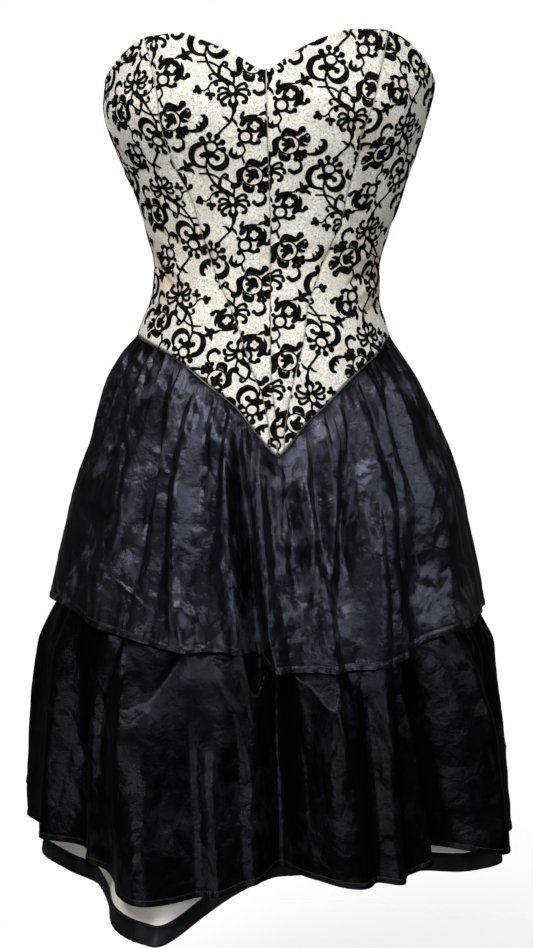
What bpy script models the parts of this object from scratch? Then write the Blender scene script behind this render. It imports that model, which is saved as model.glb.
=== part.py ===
"""Strapless two-tier party dress, filled out as it is worn, with nobody in it.

Metres, +Z up. The origin is the middle of the waist, where the wearer holds the dress up. The front
faces -Y, and left and right are as seen from the front. Azimuth is the angle round Z from the front
towards the right, in degrees. Every layer of cloth is a distance from the Z axis, which depends on
azimuth and height, so the layers nest without touching. The tables are in millimetres and degrees.
"""

import math
from collections import namedtuple

import bmesh
import bpy
import numpy as np
from mathutils import Matrix

MM = 0.001

# Walls and gaps
BODICE_WALL = 2.0 * MM
SATIN_WALL = 1.2 * MM
PETTICOAT_WALL = 1.0 * MM
BAND_WALL = 1.4 * MM
BAND_DEEP = 20.0 * MM
SEAM_GAP = 0.3 * MM
WAIST_GAP = 0.8 * MM
LAYER_ROOM = 4.0 * MM
STEEPEST = 0.45

# Grid on which the room under a tier is mapped, and how many steps round a point count as close
MAP_TURN = 1.5
MAP_LIFT = 6 * MM
MAP_NEAR = 3
MAP_AZIMUTHS = np.arange(-180.0, 180.0, MAP_TURN)
MAP_HEIGHTS = np.arange(-0.63, -0.05, MAP_LIFT)

# How finely each piece is divided
SKIRT_COLUMNS = 80
PETTICOAT_COLUMNS = 40
BODICE_ROWS = 10
UPPER_ROWS = (0, 0.06, 0.16, 0.32, 0.54, 0.78, 1)
LOWER_ROWS = (0, 0.45, 1, 1.14, 1.5, 2)
PETTICOAT_ROWS = (0, 0.1, 0.45, 1, 1.14, 1.55, 2, 3)
BAND_ROWS = (0, 1)

# Reach of each layer to the left, right, front and back, at a height
Section = namedtuple("Section", "height left right front back")
BODICE_SECTIONS = (
    Section(-170, 146, 142, 112, 120),
    Section(-110, 138, 134, 104, 112),
    Section(-65, 128, 122, 97, 98),
    Section(-25, 113, 111, 88, 87),
    Section(5, 110, 111, 86, 84),
    Section(35, 117, 119, 90, 87),
    Section(65, 125, 130, 96, 92),
    Section(95, 136, 138, 102, 98),
    Section(125, 147, 146, 108, 103),
    Section(155, 153, 153, 110, 104),
    Section(180, 151, 158, 106, 101),
    Section(232, 150, 158, 100, 94),
)
UPPER_SECTIONS = (
    Section(-370, 224, 222, 170, 173),
    Section(-335, 219, 217, 165, 169),
    Section(-300, 212, 209, 158, 164),
    Section(-265, 204, 201, 151, 158),
    Section(-230, 195, 194, 143, 152),
    Section(-200, 186, 185, 135, 146),
    Section(-170, 174, 174, 126, 138),
    Section(-140, 166, 162, 117, 129),
    Section(-110, 157, 149, 108, 118),
    Section(-80, 140, 131, 101, 106),
    Section(-60, 127, 121, 97, 98),
)
LOWER_SECTIONS = (
    Section(-575, 246, 248, 190, 186),
    Section(-515, 245, 243, 187, 184),
    Section(-470, 242, 238, 183, 182),
    Section(-435, 239, 234, 180, 180),
    Section(-400, 235, 229, 175, 177),
    Section(-370, 229, 225, 170, 173),
    Section(-345, 217, 213, 163, 166),
    Section(-320, 204, 202, 154, 158),
    Section(-300, 195, 193, 146, 151),
)

# The two rounded cups of the bodice
Cup = namedtuple("Cup", "azimuth height stand_out spread rise")
CUPS = (
    Cup(-46, 165, 20, 24, 42),
    Cup(46, 165, 20, 24, 42),
)

# Edges that run round the dress: the height at each azimuth, equal at both ends
Edge = namedtuple("Edge", "azimuth height")
TOP_EDGE = (
    Edge(-180, 165), Edge(-145, 167), Edge(-110, 173), Edge(-90, 181), Edge(-76, 190),
    Edge(-66, 207), Edge(-57, 220), Edge(-49, 223), Edge(-42, 225), Edge(-29, 217),
    Edge(-15, 205), Edge(-1, 191), Edge(13, 207), Edge(28, 221), Edge(42, 228),
    Edge(52, 228), Edge(61, 222), Edge(70, 206), Edge(78, 188), Edge(92, 178),
    Edge(112, 171), Edge(145, 167), Edge(180, 165),
)
WAIST_SEAM = (
    Edge(-180, -72), Edge(-120, -66), Edge(-81, -64), Edge(-67, -68), Edge(-47, -81),
    Edge(-31, -101), Edge(-15, -123), Edge(-6, -143), Edge(3, -164), Edge(6, -167),
    Edge(9, -162), Edge(18, -141), Edge(27, -126), Edge(50, -91), Edge(67, -75),
    Edge(80, -65), Edge(120, -66), Edge(180, -72),
)
UPPER_HEM = (
    Edge(-180, -346), Edge(-140, -342), Edge(-110, -334), Edge(-83, -320), Edge(-65, -324),
    Edge(-51, -335), Edge(-30, -345), Edge(-7, -346), Edge(0, -357), Edge(8, -362),
    Edge(22, -363), Edge(45, -358), Edge(58, -344), Edge(80, -340), Edge(120, -343),
    Edge(180, -346),
)
LOWER_HEM = (
    Edge(-180, -560), Edge(-116, -558), Edge(-80, -558), Edge(-50, -562), Edge(-26, -574),
    Edge(-4, -564), Edge(5, -557), Edge(25, -562), Edge(37, -566), Edge(57, -556),
    Edge(66, -564), Edge(90, -560), Edge(130, -562), Edge(180, -560),
)

# Seams of the bodice, top to bottom in the photograph and listed upwards here
Seam = namedtuple("Seam", "height azimuth")
CENTRE_FRONT = (
    Seam(-172, 5.6), Seam(-143, 5.1), Seam(-126, 4.4), Seam(-99, 2.9), Seam(-70, 2.4), Seam(43, 2.3),
    Seam(117, 0.7), Seam(232, -0.7),
)
LEFT_PRINCESS = (
    Seam(-172, 2.4), Seam(-141, 1.2), Seam(-111, -2.3), Seam(-85, -8.4), Seam(-55, -14.8),
    Seam(-26, -23.4), Seam(3, -32.6), Seam(24, -37), Seam(72, -40.5), Seam(105, -44.4),
    Seam(158, -43.7), Seam(183, -47.2), Seam(232, -60),
)
RIGHT_PRINCESS = (
    Seam(-172, 8.8), Seam(-147, 8.8), Seam(-132, 10), Seam(-109, 12.8), Seam(-81, 17.1),
    Seam(-60, 21.2), Seam(-25, 26.2), Seam(0, 32.8), Seam(25, 38.4), Seam(54, 42.6),
    Seam(104, 42.6), Seam(131, 41.2), Seam(166, 43.8), Seam(232, 57),
)
LEFT_SIDE = (Seam(-110, -93), Seam(232, -96))
RIGHT_SIDE = (Seam(-110, 93), Seam(232, 94))
LEFT_BACK = (Seam(-110, -138), Seam(0, -142), Seam(232, -136))
RIGHT_BACK = (Seam(-110, 138), Seam(0, 142), Seam(232, 136))
CENTRE_BACK = (Seam(-110, 180), Seam(232, 180))

# Panels of the bodice: the seam on its left, the seam on its right, and its columns
Panel = namedtuple("Panel", "name first last columns")
PANELS = (
    Panel("bodice_front_left", LEFT_PRINCESS, CENTRE_FRONT, 14),
    Panel("bodice_front_right", CENTRE_FRONT, RIGHT_PRINCESS, 14),
    Panel("bodice_side_front_left", LEFT_SIDE, LEFT_PRINCESS, 22),
    Panel("bodice_side_front_right", RIGHT_PRINCESS, RIGHT_SIDE, 20),
    Panel("bodice_side_back_left", LEFT_BACK, LEFT_SIDE, 8),
    Panel("bodice_side_back_right", RIGHT_SIDE, RIGHT_BACK, 8),
    Panel("bodice_back_left", CENTRE_BACK, LEFT_BACK, 7),
    Panel("bodice_back_right", RIGHT_BACK, CENTRE_BACK, 7),
)

# Hanging folds: where each lies at the seam and at the hem, how wide, how far it stands out or sinks
# in, and between which shares of the drop from seam to hem
Fold = namedtuple("Fold", "top hem half_width stand_out begins ends")
UPPER_FOLDS = (
    Fold(-79, -66, 6, -7, 0.0, 0.7),
    Fold(-72, -77, 7, 5, 0.1, 2.0),
    Fold(-60, -56, 7, 7, 0.05, 2.0),
    Fold(-50, -44, 5, -10, 0.02, 0.9),
    Fold(-39, -26, 6, 10, 0.05, 1.2),
    Fold(-28, -22, 5, -8, 0.0, 0.7),
    Fold(-18, -10, 5, 7, 0.05, 1.3),
    Fold(-14, -3, 6, -32, 0.05, 2.0),
    Fold(-6, 3, 6, 14, 0.05, 2.0),
    Fold(7, 13, 5, -9, 0.0, 0.8),
    Fold(13, 21, 5, 10, 0.05, 2.0),
    Fold(21, 19, 5, -10, 0.0, 0.8),
    Fold(38, 22, 6, -14, 0.02, 0.9),
    Fold(48, 36, 9, 8, 0.05, 2.0),
    Fold(63, 50, 5, -8, 0.0, 0.6),
    Fold(56, 52, 8, -12, 0.35, 2.0),
    Fold(75, 68, 9, 6, 0.2, 2.0),
    Fold(92, 95, 7, 6, 0.1, 2.0),
    Fold(104, 102, 6, -9, 0.05, 2.0),
    Fold(118, 115, 8, 8, 0.1, 2.0),
    Fold(131, 134, 6, -13, 0.05, 2.0),
    Fold(145, 142, 7, 9, 0.1, 1.2),
    Fold(157, 160, 6, -9, 0.05, 2.0),
    Fold(168, 170, 6, 7, 0.1, 2.0),
    Fold(-178, -177, 6, -9, 0.3, 2.0),
    Fold(-97, -99, 7, -8, 0.05, 2.0),
    Fold(-110, -106, 8, 8, 0.1, 2.0),
    Fold(-124, -128, 6, -12, 0.05, 2.0),
    Fold(-138, -135, 8, 9, 0.1, 1.3),
    Fold(-152, -156, 6, -10, 0.05, 2.0),
    Fold(-166, -163, 7, 8, 0.1, 2.0),
)
LOWER_FOLDS = (
    Fold(-128, -116, 17, 54, 0.0, 2.0),
    Fold(-98, -96, 8, -8, 0.0, 2.0),
    Fold(-78, -80, 10, -14, 0.0, 2.0),
    Fold(-62, -62, 11, -26, 0.0, 2.0),
    Fold(-36, -30, 17, 47, 0.0, 2.0),
    Fold(-18, -13, 7, 17, 0.1, 2.0),
    Fold(2, 5, 9, -34, 0.0, 2.0),
    Fold(18, 23, 11, 27, 0.0, 2.0),
    Fold(32, 35, 6, 18, 0.1, 2.0),
    Fold(48, 56, 9, -40, 0.0, 2.0),
    Fold(62, 67, 8, 24, 0.1, 2.0),
    Fold(84, 82, 7, 6, 0.1, 2.0),
    Fold(104, 103, 9, -14, 0.0, 2.0),
    Fold(120, 118, 9, 16, 0.0, 2.0),
    Fold(136, 135, 9, -18, 0.0, 2.0),
    Fold(150, 151, 9, 18, 0.0, 2.0),
    Fold(166, 166, 8, -14, 0.0, 2.0),
    Fold(180, -178, 8, 14, 0.0, 2.0),
    Fold(-164, -162, 8, -15, 0.0, 2.0),
    Fold(-146, -143, 9, -12, 0.0, 2.0),
)

# The petticoat's free hem, which hangs limp under the lower tier
HemPoint = namedtuple("HemPoint", "azimuth reach height")
PETTICOAT_HEM = (
    HemPoint(-180, 176, -610), HemPoint(-150, 190, -611), HemPoint(-120, 222, -612),
    HemPoint(-100, 240, -612), HemPoint(-84, 206, -612), HemPoint(-70, 180, -613),
    HemPoint(-54, 192, -614), HemPoint(-40, 224, -616), HemPoint(-30, 233, -617),
    HemPoint(-25, 228, -616), HemPoint(-20, 182, -604), HemPoint(-13, 152, -592),
    HemPoint(2, 122, -583), HemPoint(14, 120, -582), HemPoint(40, 150, -588),
    HemPoint(60, 156, -596), HemPoint(71, 172, -600), HemPoint(77, 210, -604),
    HemPoint(84, 243, -602), HemPoint(98, 238, -603), HemPoint(120, 205, -608),
    HemPoint(150, 196, -611), HemPoint(180, 176, -610),
)

# Small gathers, as many round each tier as the photograph has
GATHERS_ROUND = 40
UPPER_GATHER = 2.6 * MM
LOWER_GATHER = 3.0 * MM
LOWER_TOP = -300 * MM

# Shares of the drop over which a fold grows and fades, and over which a gather grows and flattens
FOLD_GROWS = 0.45
FOLD_FADES = 0.35
GATHER_GROWS = 0.08
GATHER_FLATTENS = (0.15, 0.8)
GATHER_LOST = 0.7
STEP_OUT_GROWS = 0.16

# How far a lower layer may spread for each metre that it hangs below the hem over it
SPREAD_BELOW_HEM = 1.1

# Heights that a panel's rows start from, and how many times they are settled on its edges
FIRST_TOP = 200 * MM
FIRST_BOTTOM = -80 * MM
SETTLE_STEPS = 12

# Centre back zip, closed
ZIP_BOTTOM = -128 * MM
ZIP_BELOW_EDGE = 2 * MM
ZIP_SLOT = 6.0 * MM
ZIP_ROWS = 13
TAPE_WIDE = 26 * MM
TAPE_THICK = 0.8 * MM
TAPE_GAP = 0.6 * MM
CHAIN_WIDE = 4.8 * MM
CHAIN_THICK = 1.7 * MM
CALM_AZIMUTH = 9.0
CALM_BELOW = 48 * MM
SLIDER_HEIGHT = 156 * MM
SLIDER_WIDE = 7.0 * MM
SLIDER_LONG = 9.0 * MM
SLIDER_THICK = 1.2 * MM
EAR_OUT = 4.3 * MM
EAR_WIDE = 1.1 * MM
EAR_LONG = 3.0 * MM
EAR_GAP = 3.6 * MM
PIN_OUT = 3.1 * MM
PIN_RADIUS = 0.55 * MM
PULL_EYE_RADIUS = 1.5 * MM
PULL_BORE_RADIUS = 0.9 * MM
PULL_NECK = 2.8 * MM
PULL_NECK_LONG = 4.5 * MM
PULL_WIDE = 5.0 * MM
PULL_LONG = 19.0 * MM
PULL_THICK = 1.0 * MM

# Colours: name, red, green, blue, roughness, metallic
FLOCKED_COTTON = ("flocked_cotton", 0.46, 0.44, 0.41, 0.85, 0.0)
UPPER_SATIN = ("upper_satin", 0.016, 0.016, 0.022, 0.42, 0.0)
LOWER_SATIN = ("lower_satin", 0.009, 0.009, 0.012, 0.42, 0.0)
GREY_LINING = ("petticoat_cloth", 0.37, 0.34, 0.32, 0.8, 0.0)
BAND_SATIN = ("band_satin", 0.018, 0.020, 0.022, 0.45, 0.0)
BLACK_TAPE = ("black_tape", 0.012, 0.012, 0.013, 0.8, 0.0)
BLACK_NYLON = ("black_nylon", 0.02, 0.02, 0.022, 0.35, 0.0)
DARK_METAL = ("dark_metal", 0.20, 0.20, 0.21, 0.35, 1.0)


def smooth(at, places, values):
    """A soft curve through the given points that doesn't overshoot them."""
    places, values = np.asarray(places, float), np.asarray(values, float)
    slopes = np.diff(values) / np.diff(places)
    middle = np.where(slopes[1:] * slopes[:-1] > 0, (slopes[1:] + slopes[:-1]) / 2, 0)
    tangents = np.concatenate(([slopes[0]], middle, [slopes[-1]]))
    k = np.clip(np.searchsorted(places, at) - 1, 0, len(slopes) - 1)
    step = places[k + 1] - places[k]
    f = np.clip((at - places[k]) / step, 0, 1)
    eased = f * f * (3 - 2 * f)
    bend = f * (1 - f) * ((1 - f) * tangents[k] - f * tangents[k + 1])
    return values[k] + (values[k + 1] - values[k]) * eased + step * bend


def rise(at, start, end):
    """0 before start, 1 after end, and soft between."""
    f = np.clip((at - start) / (end - start), 0, 1)
    return f * f * (3 - 2 * f)


def turned(azimuth, centre):
    """Degrees from centre to azimuth, the short way round."""
    return (azimuth - centre + 180) % 360 - 180


def round_table(azimuth, rows, column):
    """A column of a table of edges, read at an azimuth."""
    wrapped = turned(azimuth, 0)
    return smooth(wrapped, [row.azimuth for row in rows], [getattr(row, column) for row in rows]) * MM


def oval(azimuth, height, sections):
    """Distance from the axis to the oval of the sections at a height."""
    heights = [row.height for row in sections]
    left, right, front, back = (
        smooth(height / MM, heights, [row[side] for row in sections]) * MM for side in range(1, 5)
    )
    angle = np.radians(azimuth)
    across = np.where(np.sin(angle) < 0, left, right)
    deep = np.where(np.cos(angle) > 0, front, back)
    return 1 / np.hypot(np.sin(angle) / across, np.cos(angle) / deep)


def hill(distance, half_width):
    """1 at the middle, 0 at half_width and beyond."""
    return 0.5 + 0.5 * np.cos(np.pi * np.clip(np.abs(distance) / half_width, 0, 1))


def near_zip(azimuth, height):
    """1 over the zip and 0 away from it, where the cloth has no gathers."""
    beside = 1 - rise(np.abs(turned(azimuth, 180)), CALM_AZIMUTH, 2 * CALM_AZIMUTH)
    return beside * rise(height, ZIP_BOTTOM - 2 * CALM_BELOW, ZIP_BOTTOM - CALM_BELOW)


def folds(azimuth, share, rows):
    """How far the hanging folds move the cloth out."""
    total = np.zeros(np.broadcast(azimuth, share).shape)
    for fold in rows:
        centre = fold.top + turned(fold.hem, fold.top) * share
        along = rise(share, fold.begins, fold.begins + FOLD_GROWS)
        along = along * (1 - rise(share, fold.ends - FOLD_FADES, fold.ends))
        total = total + fold.stand_out * MM * along * hill(turned(azimuth, centre), fold.half_width)
    return total


def gathers(azimuth, share, depth, phase):
    """Small gathers, deepest just under the seam that draws the cloth up."""
    angle = np.radians(azimuth)
    wander = 1.1 * np.sin(3 * angle + phase) + 0.8 * np.sin(7 * angle + 2 * phase)
    uneven = 0.75 + 0.25 * np.sin(5 * angle + 3 * phase)
    strength = rise(share, 0, GATHER_GROWS) * (1 - GATHER_LOST * rise(share, *GATHER_FLATTENS))
    return depth * strength * uneven * np.cos(GATHERS_ROUND * angle + wander)


def bodice_radius(azimuth, height):
    radius = oval(azimuth, height, BODICE_SECTIONS)
    for cup in CUPS:
        round_it = (turned(azimuth, cup.azimuth) / cup.spread) ** 2
        up_it = ((height / MM - cup.height) / cup.rise) ** 2
        radius = radius + cup.stand_out * MM * np.exp(-(round_it + up_it) / 2)
    return radius


def between(height, top, bottom):
    return np.clip((top - height) / (top - bottom), 0, 1)


def upper_radius(azimuth, height):
    top = round_table(azimuth, WAIST_SEAM, "height")
    share = between(height, top, round_table(azimuth, UPPER_HEM, "height"))
    step_out = oval(azimuth, top, UPPER_SECTIONS) - bodice_radius(azimuth, top)
    radius = oval(azimuth, height, UPPER_SECTIONS) - step_out * (1 - rise(share, 0, STEP_OUT_GROWS))
    drape = folds(azimuth, share, UPPER_FOLDS) + gathers(azimuth, share, UPPER_GATHER, 0.7)
    return radius + drape * (1 - near_zip(azimuth, height))


def lower_radius(azimuth, height):
    share = between(height, LOWER_TOP, round_table(azimuth, LOWER_HEM, "height"))
    radius = oval(azimuth, height, LOWER_SECTIONS)
    radius = radius + folds(azimuth, share, LOWER_FOLDS) + gathers(azimuth, share, LOWER_GATHER, 2.1)
    upper_hem = round_table(azimuth, UPPER_HEM, "height")
    over = inside(upper_radius, azimuth, np.maximum(height, upper_hem), SATIN_WALL)
    return np.minimum(radius, over - LAYER_ROOM + SPREAD_BELOW_HEM * np.maximum(upper_hem - height, 0))


def reach_map(layer, levels_at, wall):
    """The least inner reach of a layer close round each point of a grid of azimuths and heights."""
    azimuth, height = np.meshgrid(MAP_AZIMUTHS, MAP_HEIGHTS)
    levels = levels_at(azimuth)
    reach = inside(layer, azimuth, np.clip(height, levels[-1], levels[0]), wall)
    reach = np.minimum.reduce([np.roll(reach, shift, axis=1) for shift in range(-MAP_NEAR, MAP_NEAR + 1)])
    padded = np.pad(reach, ((MAP_NEAR, MAP_NEAR), (0, 0)), mode="edge")
    return np.minimum.reduce([padded[shift : shift + len(reach)] for shift in range(2 * MAP_NEAR + 1)])


def read_map(reach, azimuth, height):
    """The map read between its grid points."""
    column = (np.asarray(azimuth) + 180) % 360 / MAP_TURN
    row = np.clip((height - MAP_HEIGHTS[0]) / MAP_LIFT, 0, len(MAP_HEIGHTS) - 1.001)
    i, j = row.astype(int), column.astype(int) % len(MAP_AZIMUTHS)
    up, along = row - row.astype(int), column - column.astype(int)
    after = (j + 1) % len(MAP_AZIMUTHS)
    low = reach[i, j] * (1 - along) + reach[i, after] * along
    high = reach[i + 1, j] * (1 - along) + reach[i + 1, after] * along
    return low * (1 - up) + high * up


def petticoat_radius(azimuth, height):
    """Slim under the tiers, sewn to the lower tier's gathered edge, and free below it."""
    azimuth, height = np.broadcast_arrays(azimuth, height)
    waist = round_table(azimuth, WAIST_SEAM, "height")
    hem = round_table(azimuth, PETTICOAT_HEM, "height")
    lower_hem = round_table(azimuth, LOWER_HEM, "height")
    at_waist = inside(bodice_radius, azimuth, waist, BODICE_WALL)
    at_tier = read_map(UNDER_LOWER, azimuth, np.full_like(azimuth, LOWER_TOP)) - SEAM_GAP
    slim = at_waist + (at_tier - at_waist) * rise(between(height, waist, LOWER_TOP), 0, 1)
    zip_room = (TAPE_THICK + 2 * TAPE_GAP) * near_zip(azimuth, height)
    room = SEAM_GAP + LAYER_ROOM * rise(waist - height, 0, 20 * MM)
    under_upper = np.minimum(slim, read_map(UNDER_UPPER, azimuth, height) - room - zip_room)
    free = at_tier + (round_table(azimuth, PETTICOAT_HEM, "reach") - at_tier) * between(height, LOWER_TOP, hem)
    room = SEAM_GAP + LAYER_ROOM * rise(LOWER_TOP - height, 0, 20 * MM)
    lower = read_map(UNDER_LOWER, azimuth, height)
    under_lower = np.minimum(free, lower - room + np.maximum(lower_hem - height, 0))
    return np.where(height >= LOWER_TOP, under_upper, under_lower)


def inside(layer, azimuth, height, wall):
    """The inner face of a wall whose outer face is layer, measured across the cloth."""
    radius = layer(azimuth, height)
    turn, drop = 0.5, 1 * MM
    round_slope = (layer(azimuth + turn, height) - layer(azimuth - turn, height)) / (2 * math.radians(turn))
    down_slope = (layer(azimuth, height + drop) - layer(azimuth, height - drop)) / (2 * drop)
    facing = 1 / np.sqrt(1 + (round_slope / radius) ** 2 + down_slope**2)
    return radius - wall / np.maximum(facing, STEEPEST)


def points(azimuth, radius, height):
    angle = np.radians(azimuth)
    return np.stack((radius * np.sin(angle), -radius * np.cos(angle), height), axis=-1)


def material(name, red, green, blue, roughness, metallic):
    made = bpy.data.materials.new(name)
    made.use_nodes = True
    shader = made.node_tree.nodes["Principled BSDF"]
    shader.inputs["Base Color"].default_value = (red, green, blue, 1)
    shader.inputs["Roughness"].default_value = roughness
    shader.inputs["Metallic"].default_value = metallic
    made.diffuse_color = (red, green, blue, 1)
    return made


def place(name, mesh, finish):
    piece = bpy.data.objects.new(name, mesh)
    mesh.materials.append(finish)
    bpy.data.collections["party_dress"].objects.link(piece)
    return piece


def loft(name, outer, inner, finish):
    """A closed wall between two grids of points, rows downwards and columns to the right."""
    rows, columns = outer.shape[:2]
    grid = np.arange(rows * columns).reshape(rows, columns)
    back = grid + rows * columns
    faces = []
    for i in range(rows - 1):
        for j in range(columns - 1):
            faces.append((grid[i, j], grid[i + 1, j], grid[i + 1, j + 1], grid[i, j + 1]))
            faces.append((back[i, j], back[i, j + 1], back[i + 1, j + 1], back[i + 1, j]))
    for j in range(columns - 1):
        faces.append((grid[0, j], grid[0, j + 1], back[0, j + 1], back[0, j]))
        faces.append((grid[-1, j + 1], grid[-1, j], back[-1, j], back[-1, j + 1]))
    for i in range(rows - 1):
        faces.append((grid[i + 1, 0], grid[i, 0], back[i, 0], back[i + 1, 0]))
        faces.append((grid[i, -1], grid[i + 1, -1], back[i + 1, -1], back[i, -1]))
    mesh = bpy.data.meshes.new(name)
    vertices = np.concatenate((outer.reshape(-1, 3), inner.reshape(-1, 3)))
    mesh.from_pydata(vertices.tolist(), [], [[int(corner) for corner in face] for face in faces])
    mesh.shade_smooth()
    mesh.set_sharp_from_angle(angle=math.radians(50))
    return place(name, mesh, finish)


def half_gap(height, azimuth_at_end):
    """Half the gap at the end of a panel: the zip's slot at the centre back, and a seam elsewhere."""
    slot = ZIP_SLOT / 2 * rise(height, ZIP_BOTTOM - 8 * MM, ZIP_BOTTOM)
    at_back = abs(turned(azimuth_at_end, 180)) < 1
    return np.maximum(slot, SEAM_GAP / 2) if at_back else np.full_like(height, SEAM_GAP / 2)


def bodice_panel(panel, finish):
    """One panel between two seams, from the top edge down to the waist seam."""
    across = np.linspace(0, 1, panel.columns + 1)[None, :]
    down = np.linspace(0, 1, BODICE_ROWS + 1)[:, None]
    height = FIRST_TOP * (1 - down) + FIRST_BOTTOM * down + 0 * across
    for _ in range(SETTLE_STEPS):
        first, last = (
            smooth(height / MM, [row.height for row in seam], [row.azimuth for row in seam])
            for seam in (panel.first, panel.last)
        )
        first = np.where(first > last, first - 360, first)
        reach = bodice_radius(first, height)
        first_gap = np.degrees(half_gap(height, panel.first[0].azimuth) / reach)
        last_gap = np.degrees(half_gap(height, panel.last[0].azimuth) / reach)
        azimuth = (first + first_gap) * (1 - across) + (last - last_gap) * across
        top = round_table(azimuth, TOP_EDGE, "height")
        bottom = round_table(azimuth, WAIST_SEAM, "height")
        height = top + (bottom - top) * down
    outer = points(azimuth, bodice_radius(azimuth, height), height)
    inner = points(azimuth, inside(bodice_radius, azimuth, height, BODICE_WALL), height)
    return loft(panel.name, outer, inner, finish)


def skirt_piece(name, start, end, columns, rows, layer, levels, wall, finish):
    """Part of a tier between two azimuths. A row of 1.5 is halfway from the second level to the third."""
    across = np.linspace(0, 1, columns + 1)[None, :]
    down = np.asarray(rows, float)[:, None]
    azimuth = start + (end - start) * across + 0 * down
    for _ in range(SETTLE_STEPS):
        stages = levels(azimuth)
        height = stages[0]
        for k, (upper, lower) in enumerate(zip(stages, stages[1:])):
            height = height + (lower - upper) * np.clip(down - k, 0, 1)
        reach = layer(azimuth, height)
        first = start + np.degrees(half_gap(height, start) / reach)
        last = end - np.degrees(half_gap(height, end) / reach)
        azimuth = first * (1 - across) + last * across
    outer = points(azimuth, layer(azimuth, height), height)
    inner = points(azimuth, inside(layer, azimuth, height, wall), height)
    return loft(name, outer, inner, finish)


def upper_levels(azimuth):
    top = round_table(azimuth, WAIST_SEAM, "height") - WAIST_GAP
    return top, round_table(azimuth, UPPER_HEM, "height")


def lower_levels(azimuth):
    at_upper_hem = round_table(azimuth, UPPER_HEM, "height")
    return np.full_like(azimuth, LOWER_TOP), at_upper_hem, round_table(azimuth, LOWER_HEM, "height")


def petticoat_levels(azimuth):
    top = round_table(azimuth, WAIST_SEAM, "height") - 2 * WAIST_GAP
    bottom = round_table(azimuth, PETTICOAT_HEM, "height") + BAND_DEEP + SEAM_GAP
    at_lower_hem = np.maximum(round_table(azimuth, LOWER_HEM, "height"), bottom + LAYER_ROOM)
    return top, np.full_like(azimuth, LOWER_TOP), at_lower_hem, bottom


def band_levels(azimuth):
    bottom = round_table(azimuth, PETTICOAT_HEM, "height")
    return bottom + BAND_DEEP, bottom


def back_face(height):
    """How far back the inside of the closed centre back lies, down the bodice and the skirt."""
    seam = round_table(180.0, WAIST_SEAM, "height")
    bodice = inside(bodice_radius, 180.0, np.maximum(height, seam), BODICE_WALL)
    skirt = inside(upper_radius, 180.0, np.minimum(height, seam), SATIN_WALL)
    return np.where(height > seam, bodice, np.minimum(skirt, inside(bodice_radius, 180.0, height, BODICE_WALL)))


def zip_strip(name, wide, face, thick, finish):
    """A strip down the centre back whose outer face lies at face, a distance behind the axis."""
    top = round_table(180.0, TOP_EDGE, "height") - ZIP_BELOW_EDGE
    height = np.linspace(top, ZIP_BOTTOM, ZIP_ROWS)[:, None]
    x = np.linspace(wide / 2, -wide / 2, 3)[None, :]
    reach = back_face(height) + face
    rounding = reach - np.sqrt(reach**2 - x**2)
    outer = np.stack(np.broadcast_arrays(x, reach - rounding, height), axis=-1)
    inner = outer - np.array((0, thick, 0))
    return loft(name, outer, inner, finish)


def block(size, centre):
    made = bmesh.new()
    bmesh.ops.create_cube(made, size=1, matrix=Matrix.Translation(centre) @ Matrix.Diagonal((*size, 1)))
    return made


def rod(radius, length, centre, sides):
    """A round rod along X."""
    made = bmesh.new()
    along_x = Matrix.Translation(centre) @ Matrix.Rotation(math.radians(90), 4, "Y")
    bmesh.ops.create_cone(
        made, cap_ends=True, segments=sides, radius1=radius, radius2=radius, depth=length, matrix=along_x
    )
    return made


def helper(name, shape):
    """An unseen piece that is added to another or cut from it."""
    mesh = bpy.data.meshes.new(name)
    shape.to_mesh(mesh)
    shape.free()
    made = bpy.data.objects.new(name, mesh)
    made.hide_render = True
    made.display_type = "WIRE"
    bpy.data.collections["helpers"].objects.link(made)
    return made


def combine(piece, operation, other):
    step = piece.modifiers.new(other.name, "BOOLEAN")
    step.operation = operation
    step.object = other


def zip_slider(y, finish):
    """The slider, with two ears and the pin that the pull tab hangs on. y is its inner face."""
    plate = block((SLIDER_WIDE, SLIDER_THICK, SLIDER_LONG), (0, y + SLIDER_THICK / 2, SLIDER_HEIGHT))
    mesh = bpy.data.meshes.new("zip_slider")
    plate.to_mesh(mesh)
    plate.free()
    slider = place("zip_slider", mesh, finish)
    ear_middle = y + SLIDER_THICK / 2 + EAR_OUT / 2
    for side in (-1, 1):
        x = side * (EAR_GAP + EAR_WIDE) / 2
        ear = block((EAR_WIDE, EAR_OUT - SLIDER_THICK, EAR_LONG), (x, ear_middle, SLIDER_HEIGHT))
        combine(slider, "UNION", helper(f"slider_ear_{side}", ear))
    pin = rod(PIN_RADIUS, EAR_GAP + EAR_WIDE, (0, y + PIN_OUT, SLIDER_HEIGHT), 10)
    combine(slider, "UNION", helper("slider_pin", pin))
    return slider


def zip_pull(y, finish):
    """The pull tab, hanging from its eye. Its origin is on the slider's pin."""
    eye = rod(PULL_EYE_RADIUS, PULL_NECK, (0, 0, 0), 16)
    mesh = bpy.data.meshes.new("zip_pull")
    eye.to_mesh(mesh)
    eye.free()
    pull = place("zip_pull", mesh, finish)
    neck = block((PULL_NECK, PULL_THICK, PULL_NECK_LONG), (0, 0, -(PULL_NECK_LONG + PULL_BORE_RADIUS) / 2))
    tab_long = PULL_LONG - PULL_NECK_LONG
    tab = block((PULL_WIDE, PULL_THICK, tab_long), (0, 0, -PULL_NECK_LONG - tab_long / 2))
    bore = rod(PULL_BORE_RADIUS, 2 * PULL_NECK, (0, 0, 0), 12)
    for name, shape, operation in (
        ("pull_neck", neck, "UNION"), ("pull_tab", tab, "UNION"), ("pull_bore", bore, "DIFFERENCE"),
    ):
        made = helper(name, shape)
        made.parent = pull
        combine(pull, operation, made)
    pull.location = (0, y + PIN_OUT, SLIDER_HEIGHT)
    return pull


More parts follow.
